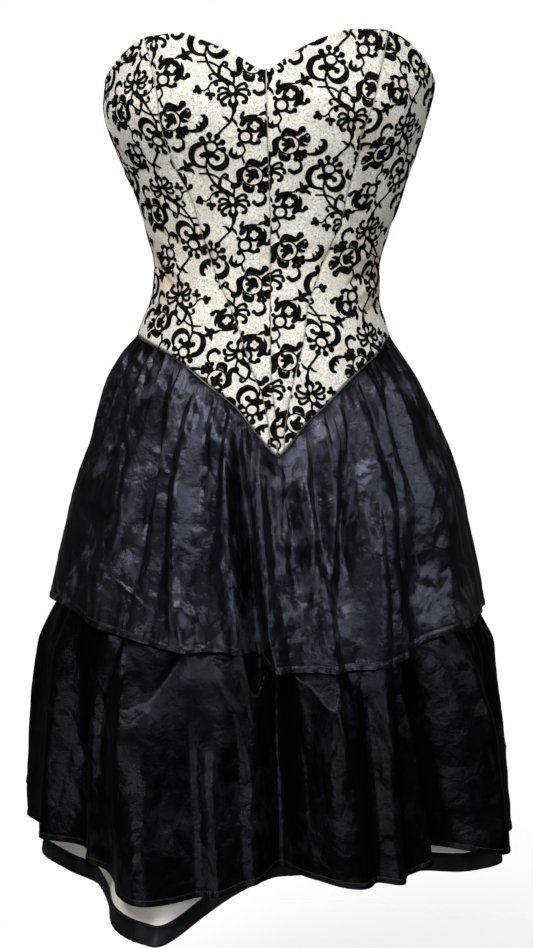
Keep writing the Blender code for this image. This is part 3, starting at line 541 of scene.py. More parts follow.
MEDALLION = (
    Line(True, ((-7, 10), (-2, 14.6), (4, 13), (9.2, 12.2), (13, 15.8)), (1.6, 6.4, 6.0, 4.6, 4.4)),
    Spot(True, 13.6, 16.4, 3.4, 3.2, 0),
    Line(
        True, ((-8.6, 8.6), (-13.6, 3.4), (-12.8, -4), (-14.2, -9.4), (-18, -11.4)),
        (1.6, 5.4, 5.6, 4.8, 4.4),
    ),
    Spot(True, -19, -10.6, 3.2, 3.1, 0),
    Line(True, ((10.4, 4), (14.6, 7), (19, 5.4), (21.4, 9.6)), (1, 5.4, 6.4, 0.8)),
    Line(True, ((-9, -8), (-6.4, -13.4), (-1, -14.8), (1.6, -11)), (1.6, 6.4, 6.4, 1.4)),
    Spot(True, 9, -9.4, 4, 4, 0),
    *bulb(((8, -10), (7.4, -16)), (3, 2.4), 2.2),
    *bulb(((9, -10), (12.8, -15.6)), (3, 2.4), 2.2),
    *bulb(((10, -9), (16.6, -12.2)), (3, 2.4), 2.2),
    *bulb(((10, -8), (16.4, -7)), (3, 2.2), 2.0),
    Line(
        True, ((14, -8.6), (22, -10.4), (30, -9), (36, -3.2), (36.4, 3.4), (32.4, 5.4)),
        (1.2, 2.2, 4.4, 6, 4.2, 1.4),
    ),
    Line(True, ((29, -7.4), (27, -3)), (3.2, 0.6)),
    Line(True, ((33, -4.4), (30, -0.6)), (3.2, 0.6)),
    Line(True, ((9, -16), (13, -21), (12.4, -27.4), (6.4, -30.6), (2, -28.6)), (1.2, 1.8, 3.6, 4.2, 2.4)),
    Spot(True, 1.8, -28, 1.9, 1.9, 0),
    Spot(True, 0, 0, 11.0, 10.6, 0),
    Spot(False, 0, 0, 9.7, 9.4, 0),
    Spot(True, 0.6, 1.8, 4.6, 5.6, -24),
    *bulb(((0, 3), (-5, 5.8)), (4.4, 2.2), 1.6),
    *bulb(((0, 0.6), (-5.4, 0.4)), (4, 1.8), 1.4),
    *bulb(((0.4, -1), (-3.4, -5.6)), (5, 3), 2.0),
    Line(True, ((3.4, 2), (5.2, -1.4), (4.4, -3.6)), (4.4, 3, 0.8)),
)
SPRIG = (
    Line(True, ((0, 0), (-3.2, -4.4), (-1.6, -9.6), (3.4, -10.6)), (1.2, 3.6, 4.0, 1.4)),
    Line(True, ((-1.6, -6), (1.6, -5.2)), (2.8, 0.6)),
    Line(True, ((0, 0), (3.6, 1.6), (6, 0.6)), (1.2, 2.0, 0.6)),
)
Placed = namedtuple("Placed", "motif x y")
PATTERN = (
    Placed(STAR_FLOWER, 0, 0),
    Placed(STEM, 0, 0),
    Placed(BULB_FLOWER, -22, -55),
    Placed(CLOVER_SCROLL, 22, -33),
    Placed(MEDALLION, 20, -85),
    Placed(SPRIG, -49, -18),
)

# Where one star flower lies on each panel of the bodice, the azimuth that the cloth's straight grain follows,
# and whether the panel is cut upside down
Print = namedtuple("Print", "azimuth height grain upside_down")
PRINTS = {
    "bodice_front_left": Print(-15.0, 170, 2.4, False),
    "bodice_front_right": Print(35.2, 147, 2.4, False),
    "bodice_side_front_left": Print(-55.0, 178, -55, True),
    "bodice_side_front_right": Print(60.5, 139, 60.5, True),
    "bodice_side_back_left": Print(-118, 110, -118, False),
    "bodice_side_back_right": Print(112, 90, 112, True),
    "bodice_back_left": Print(-160, 66, -178, False),
    "bodice_back_right": Print(158, 58, 178, False),
}
PRINT_SCALE = 0.915
INK_SWELL = 0.8
CURVE_STEPS = 4

# Net on which the flat pattern is measured over a panel, in azimuth to each side and in height
ARC_REACH = 80
ARC_POINTS = 161
ARC_STEP = 4 * MM
ARC_LOWEST = -0.185
ARC_HIGHEST = 0.245

# The flock: its inner points in millimetres of the pattern, and how far it stands out and reaches in
FLOCK_CELL = 3.2
FLOCK_ROW = 0.87
FLOCK_UP = 0.4 * MM
FLOCK_UNDER = 0.25 * MM

# A crease pressed or dragged into the cloth: its points, how far it lifts or sinks, and its half width. It is
# felt as far as CREASE_REACH half widths away
CREASE_REACH = 5
Crease = namedtuple("Crease", "path lift width")
UPPER_CREASES = (
    Crease(((-14.4, -142), (-9.6, -187), (-6.1, -241), (-3.9, -296), (-3.4, -342)), -3.2, 3.0),
    Crease(((-49.5, -104), (-50.5, -146), (-50.9, -183), (-47.6, -229), (-45.1, -266)), -3.0, 2.6),
    Crease(
        ((-38.3, -116), (-34.2, -144), (-28.9, -189), (-26.5, -225), (-25.7, -261), (-25.8, -298)),
        2.6, 4.0,
    ),
    Crease(((-27, -134), (-26, -161), (-25, -188)), -2.2, 3.0),
    Crease(((-16.7, -160), (-12.9, -187), (-11.2, -242), (-10, -296)), 2.0, 3.4),
    Crease(((-5.1, -155), (-1.8, -205), (-0.2, -259), (0.5, -314), (1.1, -356)), 2.2, 3.0),
    Crease(((7.3, -155), (8.4, -205), (10.8, -242), (12.7, -260)), -2.4, 2.8),
    Crease(((13.2, -151), (16.2, -206), (19, -260), (21.2, -307), (20.9, -353)), 2.4, 3.4),
    Crease(((20.6, -142), (20.1, -188), (19.1, -233)), -2.6, 2.6),
    Crease(((37.8, -116), (36.2, -162), (32.5, -217), (27.5, -262), (23.6, -284)), -2.6, 3.2),
    Crease(((45.8, -117), (44, -163), (40, -227), (36.9, -301)), 2.4, 4.2),
    Crease(((62.2, -92), (57.6, -138), (54.2, -175), (51.2, -212)), -2.4, 3.0),
    Crease(((49.7, -230), (47.5, -285), (45.8, -341)), -2.0, 3.0),
    Crease(((-78.8, -111), (-74.8, -153), (-70.6, -190)), 1.8, 3.4),
    Crease(((-69.6, -122), (-58.8, -167), (-54.4, -231), (-57.2, -270)), -2.2, 3.0),
    Crease(((-80, -255), (-66, -270), (-56, -276), (-44, -300), (-35, -318)), 1.6, 2.0),
    Crease(((-33, -312), (-27, -300), (-22, -318)), 1.3, 1.8),
    Crease(((30, -240), (27.5, -262), (25, -286)), 1.8, 1.8),
    Crease(((58, -250), (64, -262), (72, -258)), 1.4, 2.2),
    Crease(((60, -288), (68, -276), (78, -292)), -1.5, 2.4),
    Crease(((-62, -214), (-52, -232), (-40, -238)), -1.2, 2.2),
    Crease(((4, -286), (12, -300), (20, -296)), -1.1, 2.0),
    Crease(((104, -105), (101, -160), (100, -230)), -2.6, 3.0),
    Crease(((131, -100), (133, -170), (134, -250)), -2.8, 3.2),
    Crease(((150, -100), (144, -160), (143, -220)), 2.2, 3.6),
    Crease(((158, -98), (160, -170), (161, -250)), -2.4, 3.0),
    Crease(((112, -210), (124, -236), (139, -240)), 1.5, 2.2),
    Crease(((-104, -100), (-101, -160), (-104, -240)), -2.6, 3.0),
    Crease(((-122, -104), (-127, -180), (-128, -260)), -2.6, 3.2),
    Crease(((-138, -100), (-137, -160), (-136, -220)), 2.2, 3.8),
    Crease(((-152, -98), (-155, -170), (-156, -260)), -2.6, 3.0),
    Crease(((-110, -250), (-124, -232), (-138, -246)), 1.4, 2.2),
)
LOWER_CREASES = (
    Crease(((-74, -380), (-66, -440), (-60, -520)), -2.2, 3.0),
    Crease(((-57, -350), (-49, -392), (-41, -430), (-37, -470)), 1.8, 2.4),
    Crease(((-50, -470), (-42, -488), (-34, -508)), 1.6, 2.0),
    Crease(((-46, -488), (-38, -506), (-31, -524)), -1.4, 2.2),
    Crease(((-17, -360), (-9, -400), (-5, -446), (-3, -500)), 2.4, 2.4),
    Crease(((-10, -356), (-6, -396), (-3, -440)), -2.2, 2.2),
    Crease(((2, -370), (0, -420), (-2, -470)), 2.0, 2.2),
    Crease(((9, -400), (12, -450), (13, -520)), -1.8, 2.6),
    Crease(((17, -364), (20, -420), (22, -480), (23, -548)), 2.0, 3.0),
    Crease(((29, -380), (31, -440), (31, -500)), -2.0, 2.6),
    Crease(((41, -372), (46, -420), (52, -470)), -1.8, 2.8),
    Crease(((60, -356), (66, -384), (70, -430)), 1.8, 2.6),
    Crease(((72, -400), (78, -440), (76, -500)), -1.6, 2.8),
    Crease(((-78, -420), (-70, -432), (-62, -428)), 1.0, 1.8),
    Crease(((104, -380), (103, -440), (102, -520)), -2.2, 3.0),
    Crease(((137, -380), (136, -450), (134, -530)), -2.2, 3.0),
    Crease(((166, -370), (165, -440), (166, -520)), -2.0, 3.0),
    Crease(((-145, -380), (-146, -450), (-144, -520)), -2.0, 3.0),
    Crease(((-164, -370), (-162, -440), (-161, -520)), -2.0, 3.0),
)
BODICE_CREASES = (
    Crease(((-78, 22), (-68, 10), (-58, 2), (-49, -10)), 2.4, 3.6),
    Crease(((-80, 6), (-70, -4), (-60, -14), (-50, -30)), -2.6, 3.0),
    Crease(((-74, -14), (-64, -20), (-55, -34)), 2.0, 3.4),
    Crease(((-84, -30), (-74, -34), (-62, -46)), -2.0, 3.0),
    Crease(((-70, 44), (-60, 34), (-50, 28)), -1.6, 3.2),
    Crease(((-42, 42), (-36, 22), (-31, 6)), -2.4, 2.6),
    Crease(((-34, 40), (-29, 24), (-27, 8)), 1.3, 3.0),
    Crease(((82, 24), (70, 16), (58, 14), (46, 4)), 2.4, 3.6),
    Crease(((84, 8), (72, 0), (58, -4), (48, -14)), -2.6, 3.0),
    Crease(((78, -14), (66, -16), (54, -26)), 1.8, 3.2),
    Crease(((84, -32), (72, -32), (60, -42)), -1.8, 3.0),
    Crease(((76, 46), (62, 40), (50, 34)), -1.6, 3.2),
    Crease(((44, 36), (38, 18), (33, 2)), -1.9, 2.8),
    Crease(((30, 150), (37, 138), (44, 122), (50, 110)), -2.4, 4.0),
    Crease(((-84, 150), (-76, 134), (-70, 112)), 1.4, 3.2),
    Crease(((-88, 126), (-80, 110), (-74, 90)), -1.4, 3.0),
    Crease(((-90, 98), (-82, 84), (-76, 66)), 1.2, 3.2),
    Crease(((86, 150), (78, 132), (72, 112)), -1.3, 3.2),
    Crease(((90, 116), (82, 100), (74, 84)), 1.3, 3.2),
    Crease(((-8, 20), (4, 16), (14, 22)), -0.6, 3.6),
    Crease(((110, 8), (124, 0), (138, 6)), -1.2, 3.2),
    Crease(((112, -10), (126, -16), (140, -10)), 1.1, 3.2),
    Crease(((-110, 6), (-124, -2), (-138, 4)), -1.2, 3.2),
    Crease(((-114, -14), (-128, -18), (-142, -12)), 1.1, 3.2),
    Crease(((150, 10), (162, 2), (172, 6)), -0.9, 3.4),
    Crease(((-150, 12), (-162, 4), (-172, 8)), -0.9, 3.4),
)

# Small creases scattered over a piece of cloth: how many, where, how long, how strong, how wide, and what
# share of them run downwards. The first row of each table is for the front, the second for the back
Scatter = namedtuple(
    "Scatter", "seed count azimuth_from azimuth_to lowest highest longest strongest width steep"
)
UPPER_SCATTER = (
    Scatter(11, 120, -90, 90, -350, -100, 46, 1.15, 1.9, 0.55),
    Scatter(12, 110, 90, 270, -345, -80, 46, 1.1, 2.0, 0.55),
)
LOWER_SCATTER = (
    Scatter(21, 90, -90, 90, -560, -345, 44, 1.0, 2.0, 0.5),
    Scatter(22, 80, 90, 270, -558, -340, 44, 1.0, 2.2, 0.5),
)
PETTICOAT_SCATTER = (
    Scatter(31, 40, -90, 90, -615, -560, 40, 0.8, 2.4, 0.6),
    Scatter(32, 40, 90, 270, -612, -555, 40, 0.8, 2.4, 0.6),
)

# Fine gathers, from tight puckers at the seam to fewer and softer folds: how many go round the dress, how
# deep they are in millimetres, and the shares of the drop at which they begin, are strongest and end
Gather = namedtuple("Gather", "waves depth begins strongest ends")
FINE_GATHERS = (
    Gather(108, 0.8, 0.0, 0.03, 0.13),
    Gather(71, 1.3, 0.0, 0.08, 0.34),
    Gather(37, 1.5, 0.05, 0.2, 0.75),
    Gather(23, 1.5, 0.15, 0.5, 2.0),
)


def smooth(at, places, values):
    """A soft curve through the given points that doesn't overshoot them."""
    places, values = np.asarray(places, float), np.asarray(values, float)
    slopes = np.diff(values) / np.diff(places)
    middle = np.where(slopes[1:] * slopes[:-1] > 0, (slopes[1:] + slopes[:-1]) / 2, 0)
    tangents = np.concatenate(([slopes[0]], middle, [slopes[-1]]))
    k = np.clip(np.searchsorted(places, at) - 1, 0, len(slopes) - 1)
    step = places[k + 1] - places[k]
    f = np.clip((at - places[k]) / step, 0, 1)
    eased = f * f * (3 - 2 * f)
    bend = f * (1 - f) * ((1 - f) * tangents[k] - f * tangents[k + 1])
    return values[k] + (values[k + 1] - values[k]) * eased + step * bend


def rise(at, start, end):
    """0 before start, 1 after end, and soft between."""
    f = np.clip((at - start) / (end - start), 0, 1)
    return f * f * (3 - 2 * f)


def turned(azimuth, centre):
    """Degrees from centre to azimuth, the short way round."""
    return (azimuth - centre + 180) % 360 - 180


def round_table(azimuth, rows, column):
    """A column of a table of edges, read at an azimuth."""
    wrapped = turned(azimuth, 0)
    return smooth(wrapped, [row.azimuth for row in rows], [getattr(row, column) for row in rows]) * MM


def oval(azimuth, height, sections):
    """Distance from the axis to the oval of the sections at a height."""
    heights = [row.height for row in sections]
    left, right, front, back = (
        smooth(height / MM, heights, [row[side] for row in sections]) * MM for side in range(1, 5)
    )
    angle = np.radians(azimuth)
    across = np.where(np.sin(angle) < 0, left, right)
    deep = np.where(np.cos(angle) > 0, front, back)
    return 1 / np.hypot(np.sin(angle) / across, np.cos(angle) / deep)


def hill(distance, half_width):
    """1 at the middle, 0 at half_width and beyond."""
    return 0.5 + 0.5 * np.cos(np.pi * np.clip(np.abs(distance) / half_width, 0, 1))


def bell(distance, wide):
    """1 at the middle, falling away on both sides."""
    return np.exp(-((distance / wide) ** 2))


def groove(distance, wide):
    """1 at a seam, falling away from it."""
    return np.exp(-np.maximum(distance, 0) / wide)


def cell(at, count):
    """The cell of a table that each place falls in, and how far across the cell it is."""
    at = np.clip(at, 0, count - 1.001)
    return at.astype(int), at - at.astype(int)


def near_zip(azimuth, height):
    """1 over the zip and 0 away from it, where the cloth has no gathers."""
    beside = 1 - rise(np.abs(turned(azimuth, 180)), CALM_AZIMUTH, 2 * CALM_AZIMUTH)
    return beside * rise(height, ZIP_BOTTOM - 2 * CALM_BELOW, ZIP_BOTTOM - CALM_BELOW)


def folds(azimuth, share, rows):
    """How far the hanging folds move the cloth out."""
    total = np.zeros(np.broadcast(azimuth, share).shape)
    for fold in rows:
        centre = fold.top + turned(fold.hem, fold.top) * share
        along = rise(share, fold.begins, fold.begins + FOLD_GROWS)
        along = along * (1 - rise(share, fold.ends - FOLD_FADES, fold.ends))
        total = total + fold.stand_out * MM * along * hill(turned(azimuth, centre), fold.half_width)
    return total


def gathers(azimuth, share, depth, phase):
    """Small gathers, deepest just under the seam that draws the cloth up."""
    angle = np.radians(azimuth)
    wander = 1.1 * np.sin(3 * angle + phase) + 0.8 * np.sin(7 * angle + 2 * phase)
    uneven = 0.75 + 0.25 * np.sin(5 * angle + 3 * phase)
    strength = rise(share, 0, GATHER_GROWS) * (1 - GATHER_LOST * rise(share, *GATHER_FLATTENS))
    return depth * strength * uneven * np.cos(GATHERS_ROUND * angle + wander)


def bodice_radius(azimuth, height):
    """The bodice's outer face on its solid, with its cups."""
    radius = oval(azimuth, height, BODICE_SECTIONS)
    for cup in CUPS:
        round_it = (turned(azimuth, cup.azimuth) / cup.spread) ** 2
        up_it = ((height / MM - cup.height) / cup.rise) ** 2
        radius = radius + cup.stand_out * MM * np.exp(-(round_it + up_it) / 2)
    return radius


def between(height, top, bottom):
    """The share of the drop from top to bottom."""
    return np.clip((top - height) / (top - bottom), 0, 1)


def upper_radius(azimuth, height):
    """The upper tier's outer face on its solid, stepped out from the waist seam, with folds and gathers."""
    top = round_table(azimuth, WAIST_SEAM, "height")
    share = between(height, top, round_table(azimuth, UPPER_HEM, "height"))
    step_out = oval(azimuth, top, UPPER_SECTIONS) - bodice_radius(azimuth, top)
    radius = oval(azimuth, height, UPPER_SECTIONS) - step_out * (1 - rise(share, 0, STEP_OUT_GROWS))
    drape = folds(azimuth, share, UPPER_FOLDS) + gathers(azimuth, share, UPPER_GATHER, 0.7)
    return radius + drape * (1 - near_zip(azimuth, height))


def lower_radius(azimuth, height):
    """The lower tier's outer face on its solid, kept under the upper tier as far as that reaches."""
    share = between(height, LOWER_TOP, round_table(azimuth, LOWER_HEM, "height"))
    radius = oval(azimuth, height, LOWER_SECTIONS)
    radius = radius + folds(azimuth, share, LOWER_FOLDS) + gathers(azimuth, share, LOWER_GATHER, 2.1)
    upper_hem = round_table(azimuth, UPPER_HEM, "height")
    over = inside(upper_radius, azimuth, np.maximum(height, upper_hem), SATIN_WALL)
    return np.minimum(radius, over - LAYER_ROOM + SPREAD_BELOW_HEM * np.maximum(upper_hem - height, 0))


def reach_map(layer, levels_at, wall):
    """The least inner reach of a layer close round each point of a grid of azimuths and heights."""
    azimuth, height = np.meshgrid(MAP_AZIMUTHS, MAP_HEIGHTS)
    levels = levels_at(azimuth)
    reach = inside(layer, azimuth, np.clip(height, levels[-1], levels[0]), wall)
    reach = np.minimum.reduce([np.roll(reach, shift, axis=1) for shift in range(-MAP_NEAR, MAP_NEAR + 1)])
    padded = np.pad(reach, ((MAP_NEAR, MAP_NEAR), (0, 0)), mode="edge")
    return np.minimum.reduce([padded[shift : shift + len(reach)] for shift in range(2 * MAP_NEAR + 1)])


def read_map(reach, azimuth, height):
    """The map read between its grid points."""
    i, up = cell((height - MAP_HEIGHTS[0]) / MAP_LIFT, len(MAP_HEIGHTS))
    column = (np.asarray(azimuth) + 180) % 360 / MAP_TURN
    j, along = column.astype(int) % len(MAP_AZIMUTHS), column - column.astype(int)
    after = (j + 1) % len(MAP_AZIMUTHS)
    low = reach[i, j] * (1 - along) + reach[i, after] * along
    high = reach[i + 1, j] * (1 - along) + reach[i + 1, after] * along
    return low * (1 - up) + high * up


def petticoat_radius(azimuth, height):
    """Slim under the tiers, sewn to the lower tier's gathered edge, and free below it."""
    azimuth, height = np.broadcast_arrays(azimuth, height)
    waist = round_table(azimuth, WAIST_SEAM, "height")
    hem = round_table(azimuth, PETTICOAT_HEM, "height")
    lower_hem = round_table(azimuth, LOWER_HEM, "height")
    at_waist = inside(bodice_radius, azimuth, waist, BODICE_WALL)
    at_tier = read_map(UNDER_LOWER, azimuth, np.full_like(azimuth, LOWER_TOP)) - SEAM_GAP
    slim = at_waist + (at_tier - at_waist) * rise(between(height, waist, LOWER_TOP), 0, 1)
    zip_room = (TAPE_THICK + 2 * TAPE_GAP) * near_zip(azimuth, height)
    room = SEAM_GAP + LAYER_ROOM * rise(waist - height, 0, ROOM_GROWS)
    under_upper = np.minimum(slim, read_map(UNDER_UPPER, azimuth, height) - room - zip_room)
    at_hem = round_table(azimuth, PETTICOAT_HEM, "reach")
    free = at_tier + (at_hem - at_tier) * between(height, LOWER_TOP, hem)
    room = SEAM_GAP + LAYER_ROOM * rise(LOWER_TOP - height, 0, ROOM_GROWS)
    lower = read_map(UNDER_LOWER, azimuth, height)
    under_lower = np.minimum(free, lower - room + np.maximum(lower_hem - height, 0))
    return np.where(height >= LOWER_TOP, under_upper, under_lower)


def inside(layer, azimuth, height, wall):
    """The inner face of a wall whose outer face is layer, measured across the cloth."""
    radius = layer(azimuth, height)
    turn, drop = 0.5, 1 * MM
    round_slope = (layer(azimuth + turn, height) - layer(azimuth - turn, height)) / (2 * math.radians(turn))
    down_slope = (layer(azimuth, height + drop) - layer(azimuth, height - drop)) / (2 * drop)
    facing = 1 / np.sqrt(1 + (round_slope / radius) ** 2 + down_slope**2)
    return radius - wall / np.maximum(facing, STEEPEST)


def points(azimuth, radius, height):
    """Places in the frame."""
    angle = np.radians(azimuth)
    return np.stack((radius * np.sin(angle), -radius * np.cos(angle), height), axis=-1)


def half_gap(height, azimuth_at_end):
    """Half the gap at the end of a panel: the zip's slot at the centre back, and a seam elsewhere."""
    slot = ZIP_SLOT / 2 * rise(height, ZIP_BOTTOM - ZIP_SLOT_FADES, ZIP_BOTTOM)
    at_back = abs(turned(azimuth_at_end, 180)) < 1
    return np.maximum(slot, SEAM_GAP / 2) if at_back else np.full_like(height, SEAM_GAP / 2)


# Heights of each layer's edges, and of the edges over it that it passes on the way down


def upper_levels(azimuth):
    top = round_table(azimuth, WAIST_SEAM, "height") - WAIST_GAP
    return top, round_table(azimuth, UPPER_HEM, "height")


def lower_levels(azimuth):
    at_upper_hem = round_table(azimuth, UPPER_HEM, "height")
    return np.full_like(azimuth, LOWER_TOP), at_upper_hem, round_table(azimuth, LOWER_HEM, "height")


def petticoat_levels(azimuth):
    top = round_table(azimuth, WAIST_SEAM, "height") - 2 * WAIST_GAP
    bottom = round_table(azimuth, PETTICOAT_HEM, "height") + BAND_DEEP + SEAM_GAP
    at_lower_hem = np.maximum(round_table(azimuth, LOWER_HEM, "height"), bottom + LAYER_ROOM)
    return top, np.full_like(azimuth, LOWER_TOP), at_lower_hem, bottom


def band_levels(azimuth):
    bottom = round_table(azimuth, PETTICOAT_HEM, "height")
    return bottom + BAND_DEEP, bottom


def grid_normals(grid):
    """Outward directions at a grid of points whose rows run down and whose columns run to the right."""
    normals = np.cross(np.gradient(grid, axis=0), np.gradient(grid, axis=1))
    return normals / np.linalg.norm(normals, axis=-1, keepdims=True)


def new_object(name, data):
    """An object in the scene, at the origin."""
    made = bpy.data.objects.new(name, data)
    bpy.context.scene.collection.objects.link(made)
    return made


def make_mesh(name, vertices, face_groups, finish):
    """A smooth-shaded mesh from arrays of faces, each array with its own number of corners."""
    mesh = bpy.data.meshes.new(name)
    corners = np.concatenate([group.ravel() for group in face_groups]).astype(np.int32)
    sizes = np.concatenate([np.full(len(group), group.shape[1]) for group in face_groups])
    mesh.vertices.add(len(vertices))
    mesh.vertices.foreach_set("co", np.asarray(vertices, np.float32).ravel())
    mesh.loops.add(len(corners))
    mesh.loops.foreach_set("vertex_index", corners)
    mesh.polygons.add(len(sizes))
    mesh.polygons.foreach_set("loop_start", (np.cumsum(sizes) - sizes).astype(np.int32))
    mesh.update(calc_edges=True)
    mesh.validate()
    mesh.shade_smooth()
    mesh.materials.append(finish)
    return new_object(name, mesh)


def set_uv(mesh, coordinates):
    """Gives the mesh a UV map, from the coordinates at each of its points."""
    layer = mesh.uv_layers.new(name="UVMap")
    corners = np.empty(len(mesh.loops), np.int32)
    mesh.loops.foreach_get("vertex_index", corners)
    layer.data.foreach_set("uv", np.asarray(coordinates, np.float32)[corners].ravel())


def set_attribute(mesh, name, values):
    """Gives each point of the mesh a value that its material reads."""
    attribute = mesh.attributes.new(name, "FLOAT", "POINT")
    attribute.data.foreach_set("value", np.asarray(values, np.float32).ravel())


def cloth_coordinates(grid):
    """Metres across and down the cloth at each point of a grid, for the weave."""
    across = np.linalg.norm(np.diff(grid, axis=1), axis=-1).mean(axis=0)
    down = np.linalg.norm(np.diff(grid, axis=0), axis=-1).mean(axis=1)
    u = np.concatenate(([0], np.cumsum(across)))
    v = -np.concatenate(([0], np.cumsum(down)))
    return np.stack(np.meshgrid(u, v), axis=-1)


def quads(numbers, inwards=False):
    """Faces between the rows and columns of a grid of point numbers."""
    corners = (numbers[:-1, :-1], numbers[1:, :-1], numbers[1:, 1:], numbers[:-1, 1:])
    if inwards:
        corners = (corners[0], corners[3], corners[2], corners[1])
    return np.stack(corners, -1).reshape(-1, 4)


def cloth_shell(name, outer, thickness, finish, marks):
    """A thin wall under a grid of points, and the size that it is cut to.

    Its inner face takes every other row and column. marks are its attributes, each with its values.
    """
    rows, columns = outer.shape[:2]
    inner = (outer - grid_normals(outer) * thickness)[::2, ::2]
    front = np.arange(rows * columns).reshape(rows, columns)
    back = np.arange(inner[..., 0].size).reshape(inner.shape[:2]) + front.size
    rims = []
    for edge, under, forward in (
        (front[0], back[0], True), (front[-1], back[-1], False),
        (front[:, 0], back[:, 0], False), (front[:, -1], back[:, -1], True),
    ):
        rim = np.stack((edge[:-2:2], edge[1:-1:2], edge[2::2], under[1:], under[:-1]), -1)
        rims.append(rim if forward else rim[:, ::-1])
    vertices = np.concatenate((outer.reshape(-1, 3), inner.reshape(-1, 3)))
    walls = np.concatenate((quads(front), quads(back, inwards=True)))
    piece = make_mesh(name, vertices, (walls, np.concatenate(rims)), finish)
    piece.data.set_sharp_from_angle(angle=SHARP_CLOTH)
    flat = cloth_coordinates(outer)
    set_uv(piece.data, np.concatenate((flat.reshape(-1, 2), flat[::2, ::2].reshape(-1, 2))))
    for attribute, values in marks.items():
        set_attribute(piece.data, attribute, np.concatenate((values.ravel(), values[::2, ::2].ravel())))
    return piece, cut_of(outer)


def cut_of(grid):
    """The size that a grid of cloth is cut to: its widest row, its longest column and its area."""
    across, down = np.diff(grid, axis=1), np.diff(grid, axis=0)
    first = np.cross(across[:-1], down[:, :-1])
    second = np.cross(across[1:], down[:, 1:])
    area = float((np.linalg.norm(first, axis=-1) + np.linalg.norm(second, axis=-1)).sum() / 2)
    wide = float(np.linalg.norm(across, axis=-1).sum(axis=1).max())
    long = float(np.linalg.norm(down, axis=-1).sum(axis=0).max())
    return {"flat": (wide, long), "area": area}


def crease_relief(azimuth, height, radius, creases):
    """How far the creases lift the cloth, in metres, at each azimuth and height."""
    relief = np.zeros(np.broadcast(azimuth, height).shape)
    for crease in creases:
        path = np.array(crease.path, float)
        reach = CREASE_REACH * crease.width
        turns = np.abs(turned(azimuth, path[:, 0].mean())) * np.radians(1) * radius / MM
        wide = np.ptp(path[:, 0]) * np.radians(1) * radius.mean() / MM
        near = (turns < wide + reach) & (np.abs(height / MM - path[:, 1].mean()) < np.ptp(path[:, 1]) + reach)
        if not near.any():
            continue
        scale = np.radians(1) * radius[near] / MM
        x = turned(azimuth[near], path[0, 0]) * scale
        y = height[near] / MM
        nearest = np.full(x.shape, 1e3)
        along = np.zeros(x.shape)
        lengths = np.hypot(np.diff(path[:, 0]) * np.radians(1) * radius.mean() / MM, np.diff(path[:, 1]))
        starts = np.concatenate(([0], np.cumsum(lengths))) / lengths.sum()
        for k in range(len(path) - 1):
            ax = (path[k, 0] - path[0, 0]) * scale
            bx = (path[k + 1, 0] - path[0, 0]) * scale
            ay, by = path[k, 1], path[k + 1, 1]
            across, up = bx - ax, by - ay
            f = np.clip(((x - ax) * across + (y - ay) * up) / (across**2 + up**2), 0, 1)
            distance = np.hypot(x - ax - f * across, y - ay - f * up)
            closer = distance < nearest
            nearest = np.where(closer, distance, nearest)
            along = np.where(closer, starts[k] + f * (starts[k + 1] - starts[k]), along)
        fade = np.minimum(1, np.minimum(along, 1 - along) * 4)
        fade = fade * fade * (3 - 2 * fade)
        width = crease.width * (0.6 + 0.4 * fade)
        profile = np.exp(-(np.sqrt(nearest**2 + 0.5) - 0.7) / width)
        relief[near] += crease.lift * MM * fade * profile
    return relief


def scattered(scatters, end):
    """Short bent creases at seeded places, on the front or, where the piece ends past the side, the back."""
    scatter = scatters[0 if end <= 90 else 1]
    random = np.random.default_rng(scatter.seed)
    creases = []
    for _ in range(scatter.count):
        azimuth = random.uniform(scatter.azimuth_from, scatter.azimuth_to)
        height = random.uniform(scatter.lowest, scatter.highest)
        length = scatter.longest * random.uniform(0.3, 1)
        lean = random.normal(0, 0.35) if random.random() < scatter.steep else random.uniform(0.5, 2.6)
        bend = random.uniform(-0.35, 0.35)
        path = [(azimuth, height)]
        for turn in (lean - bend, lean + bend):
            azimuth += math.degrees(length / 2 * math.sin(turn) / 190)
            height -= length / 2 * math.cos(turn)
            path.append((azimuth, height))
        lift = scatter.strongest * random.uniform(0.3, 1) * random.choice((-1, 1))
        creases.append(Crease(tuple(path), lift, scatter.width * random.uniform(0.7, 1.4)))
    return tuple(creases)


def soft_noise(azimuth, height, seed, scale, octaves=3):
    """Smooth seeded noise between about -1 and 1, wavy over scale millimetres."""
    random = np.random.default_rng(seed)
    angle = np.radians(azimuth)
    total = np.zeros(np.broadcast(azimuth, height).shape)
    weight = 1.0
    for octave in range(octaves):
        for _ in range(5):
            round_waves = random.integers(-6, 7) * 2**octave * max(1, round(60 / scale))
            up_waves = random.normal(0, 1) * 2**octave * 2 * np.pi / (scale * MM) * 0.35
            start = random.uniform(0, 2 * np.pi)
            total = total + weight / 3 * np.cos(round_waves * angle + up_waves * height + start)
        weight = weight / 2
    return total


def pinched(phase):
    """Narrow valleys between broad rounded ridges, from -1 to 1."""
    return 2 * np.abs(np.sin(phase / 2)) ** 0.75 - 1


def fine_gathers(azimuth, share, seed):
    """Gathers that start as tight puckers at the seam and merge into fewer and softer folds further down."""
    random = np.random.default_rng(seed)
    angle = np.radians(azimuth)
    total = np.zeros(np.broadcast(azimuth, share).shape)
    for waves, depth, begins, strongest, ends in FINE_GATHERS:
        lean, sway, slip, swell = random.uniform(0, 2 * np.pi, 4)
        warp = 2.2 * np.sin(3 * angle + lean) + 1.6 * np.sin(8 * angle + sway)
        warp = warp + 1.2 * np.sin(5 * angle + 4 * share + slip)
        uneven = 0.62 + 0.38 * np.sin(7 * angle + swell) * np.sin(4 * angle + 3 * share + sway)
        strength = rise(share, begins, strongest) * (1 - rise(share, strongest, ends))
        total = total + depth * MM * strength * uneven * pinched(waves * angle + warp)
    return total


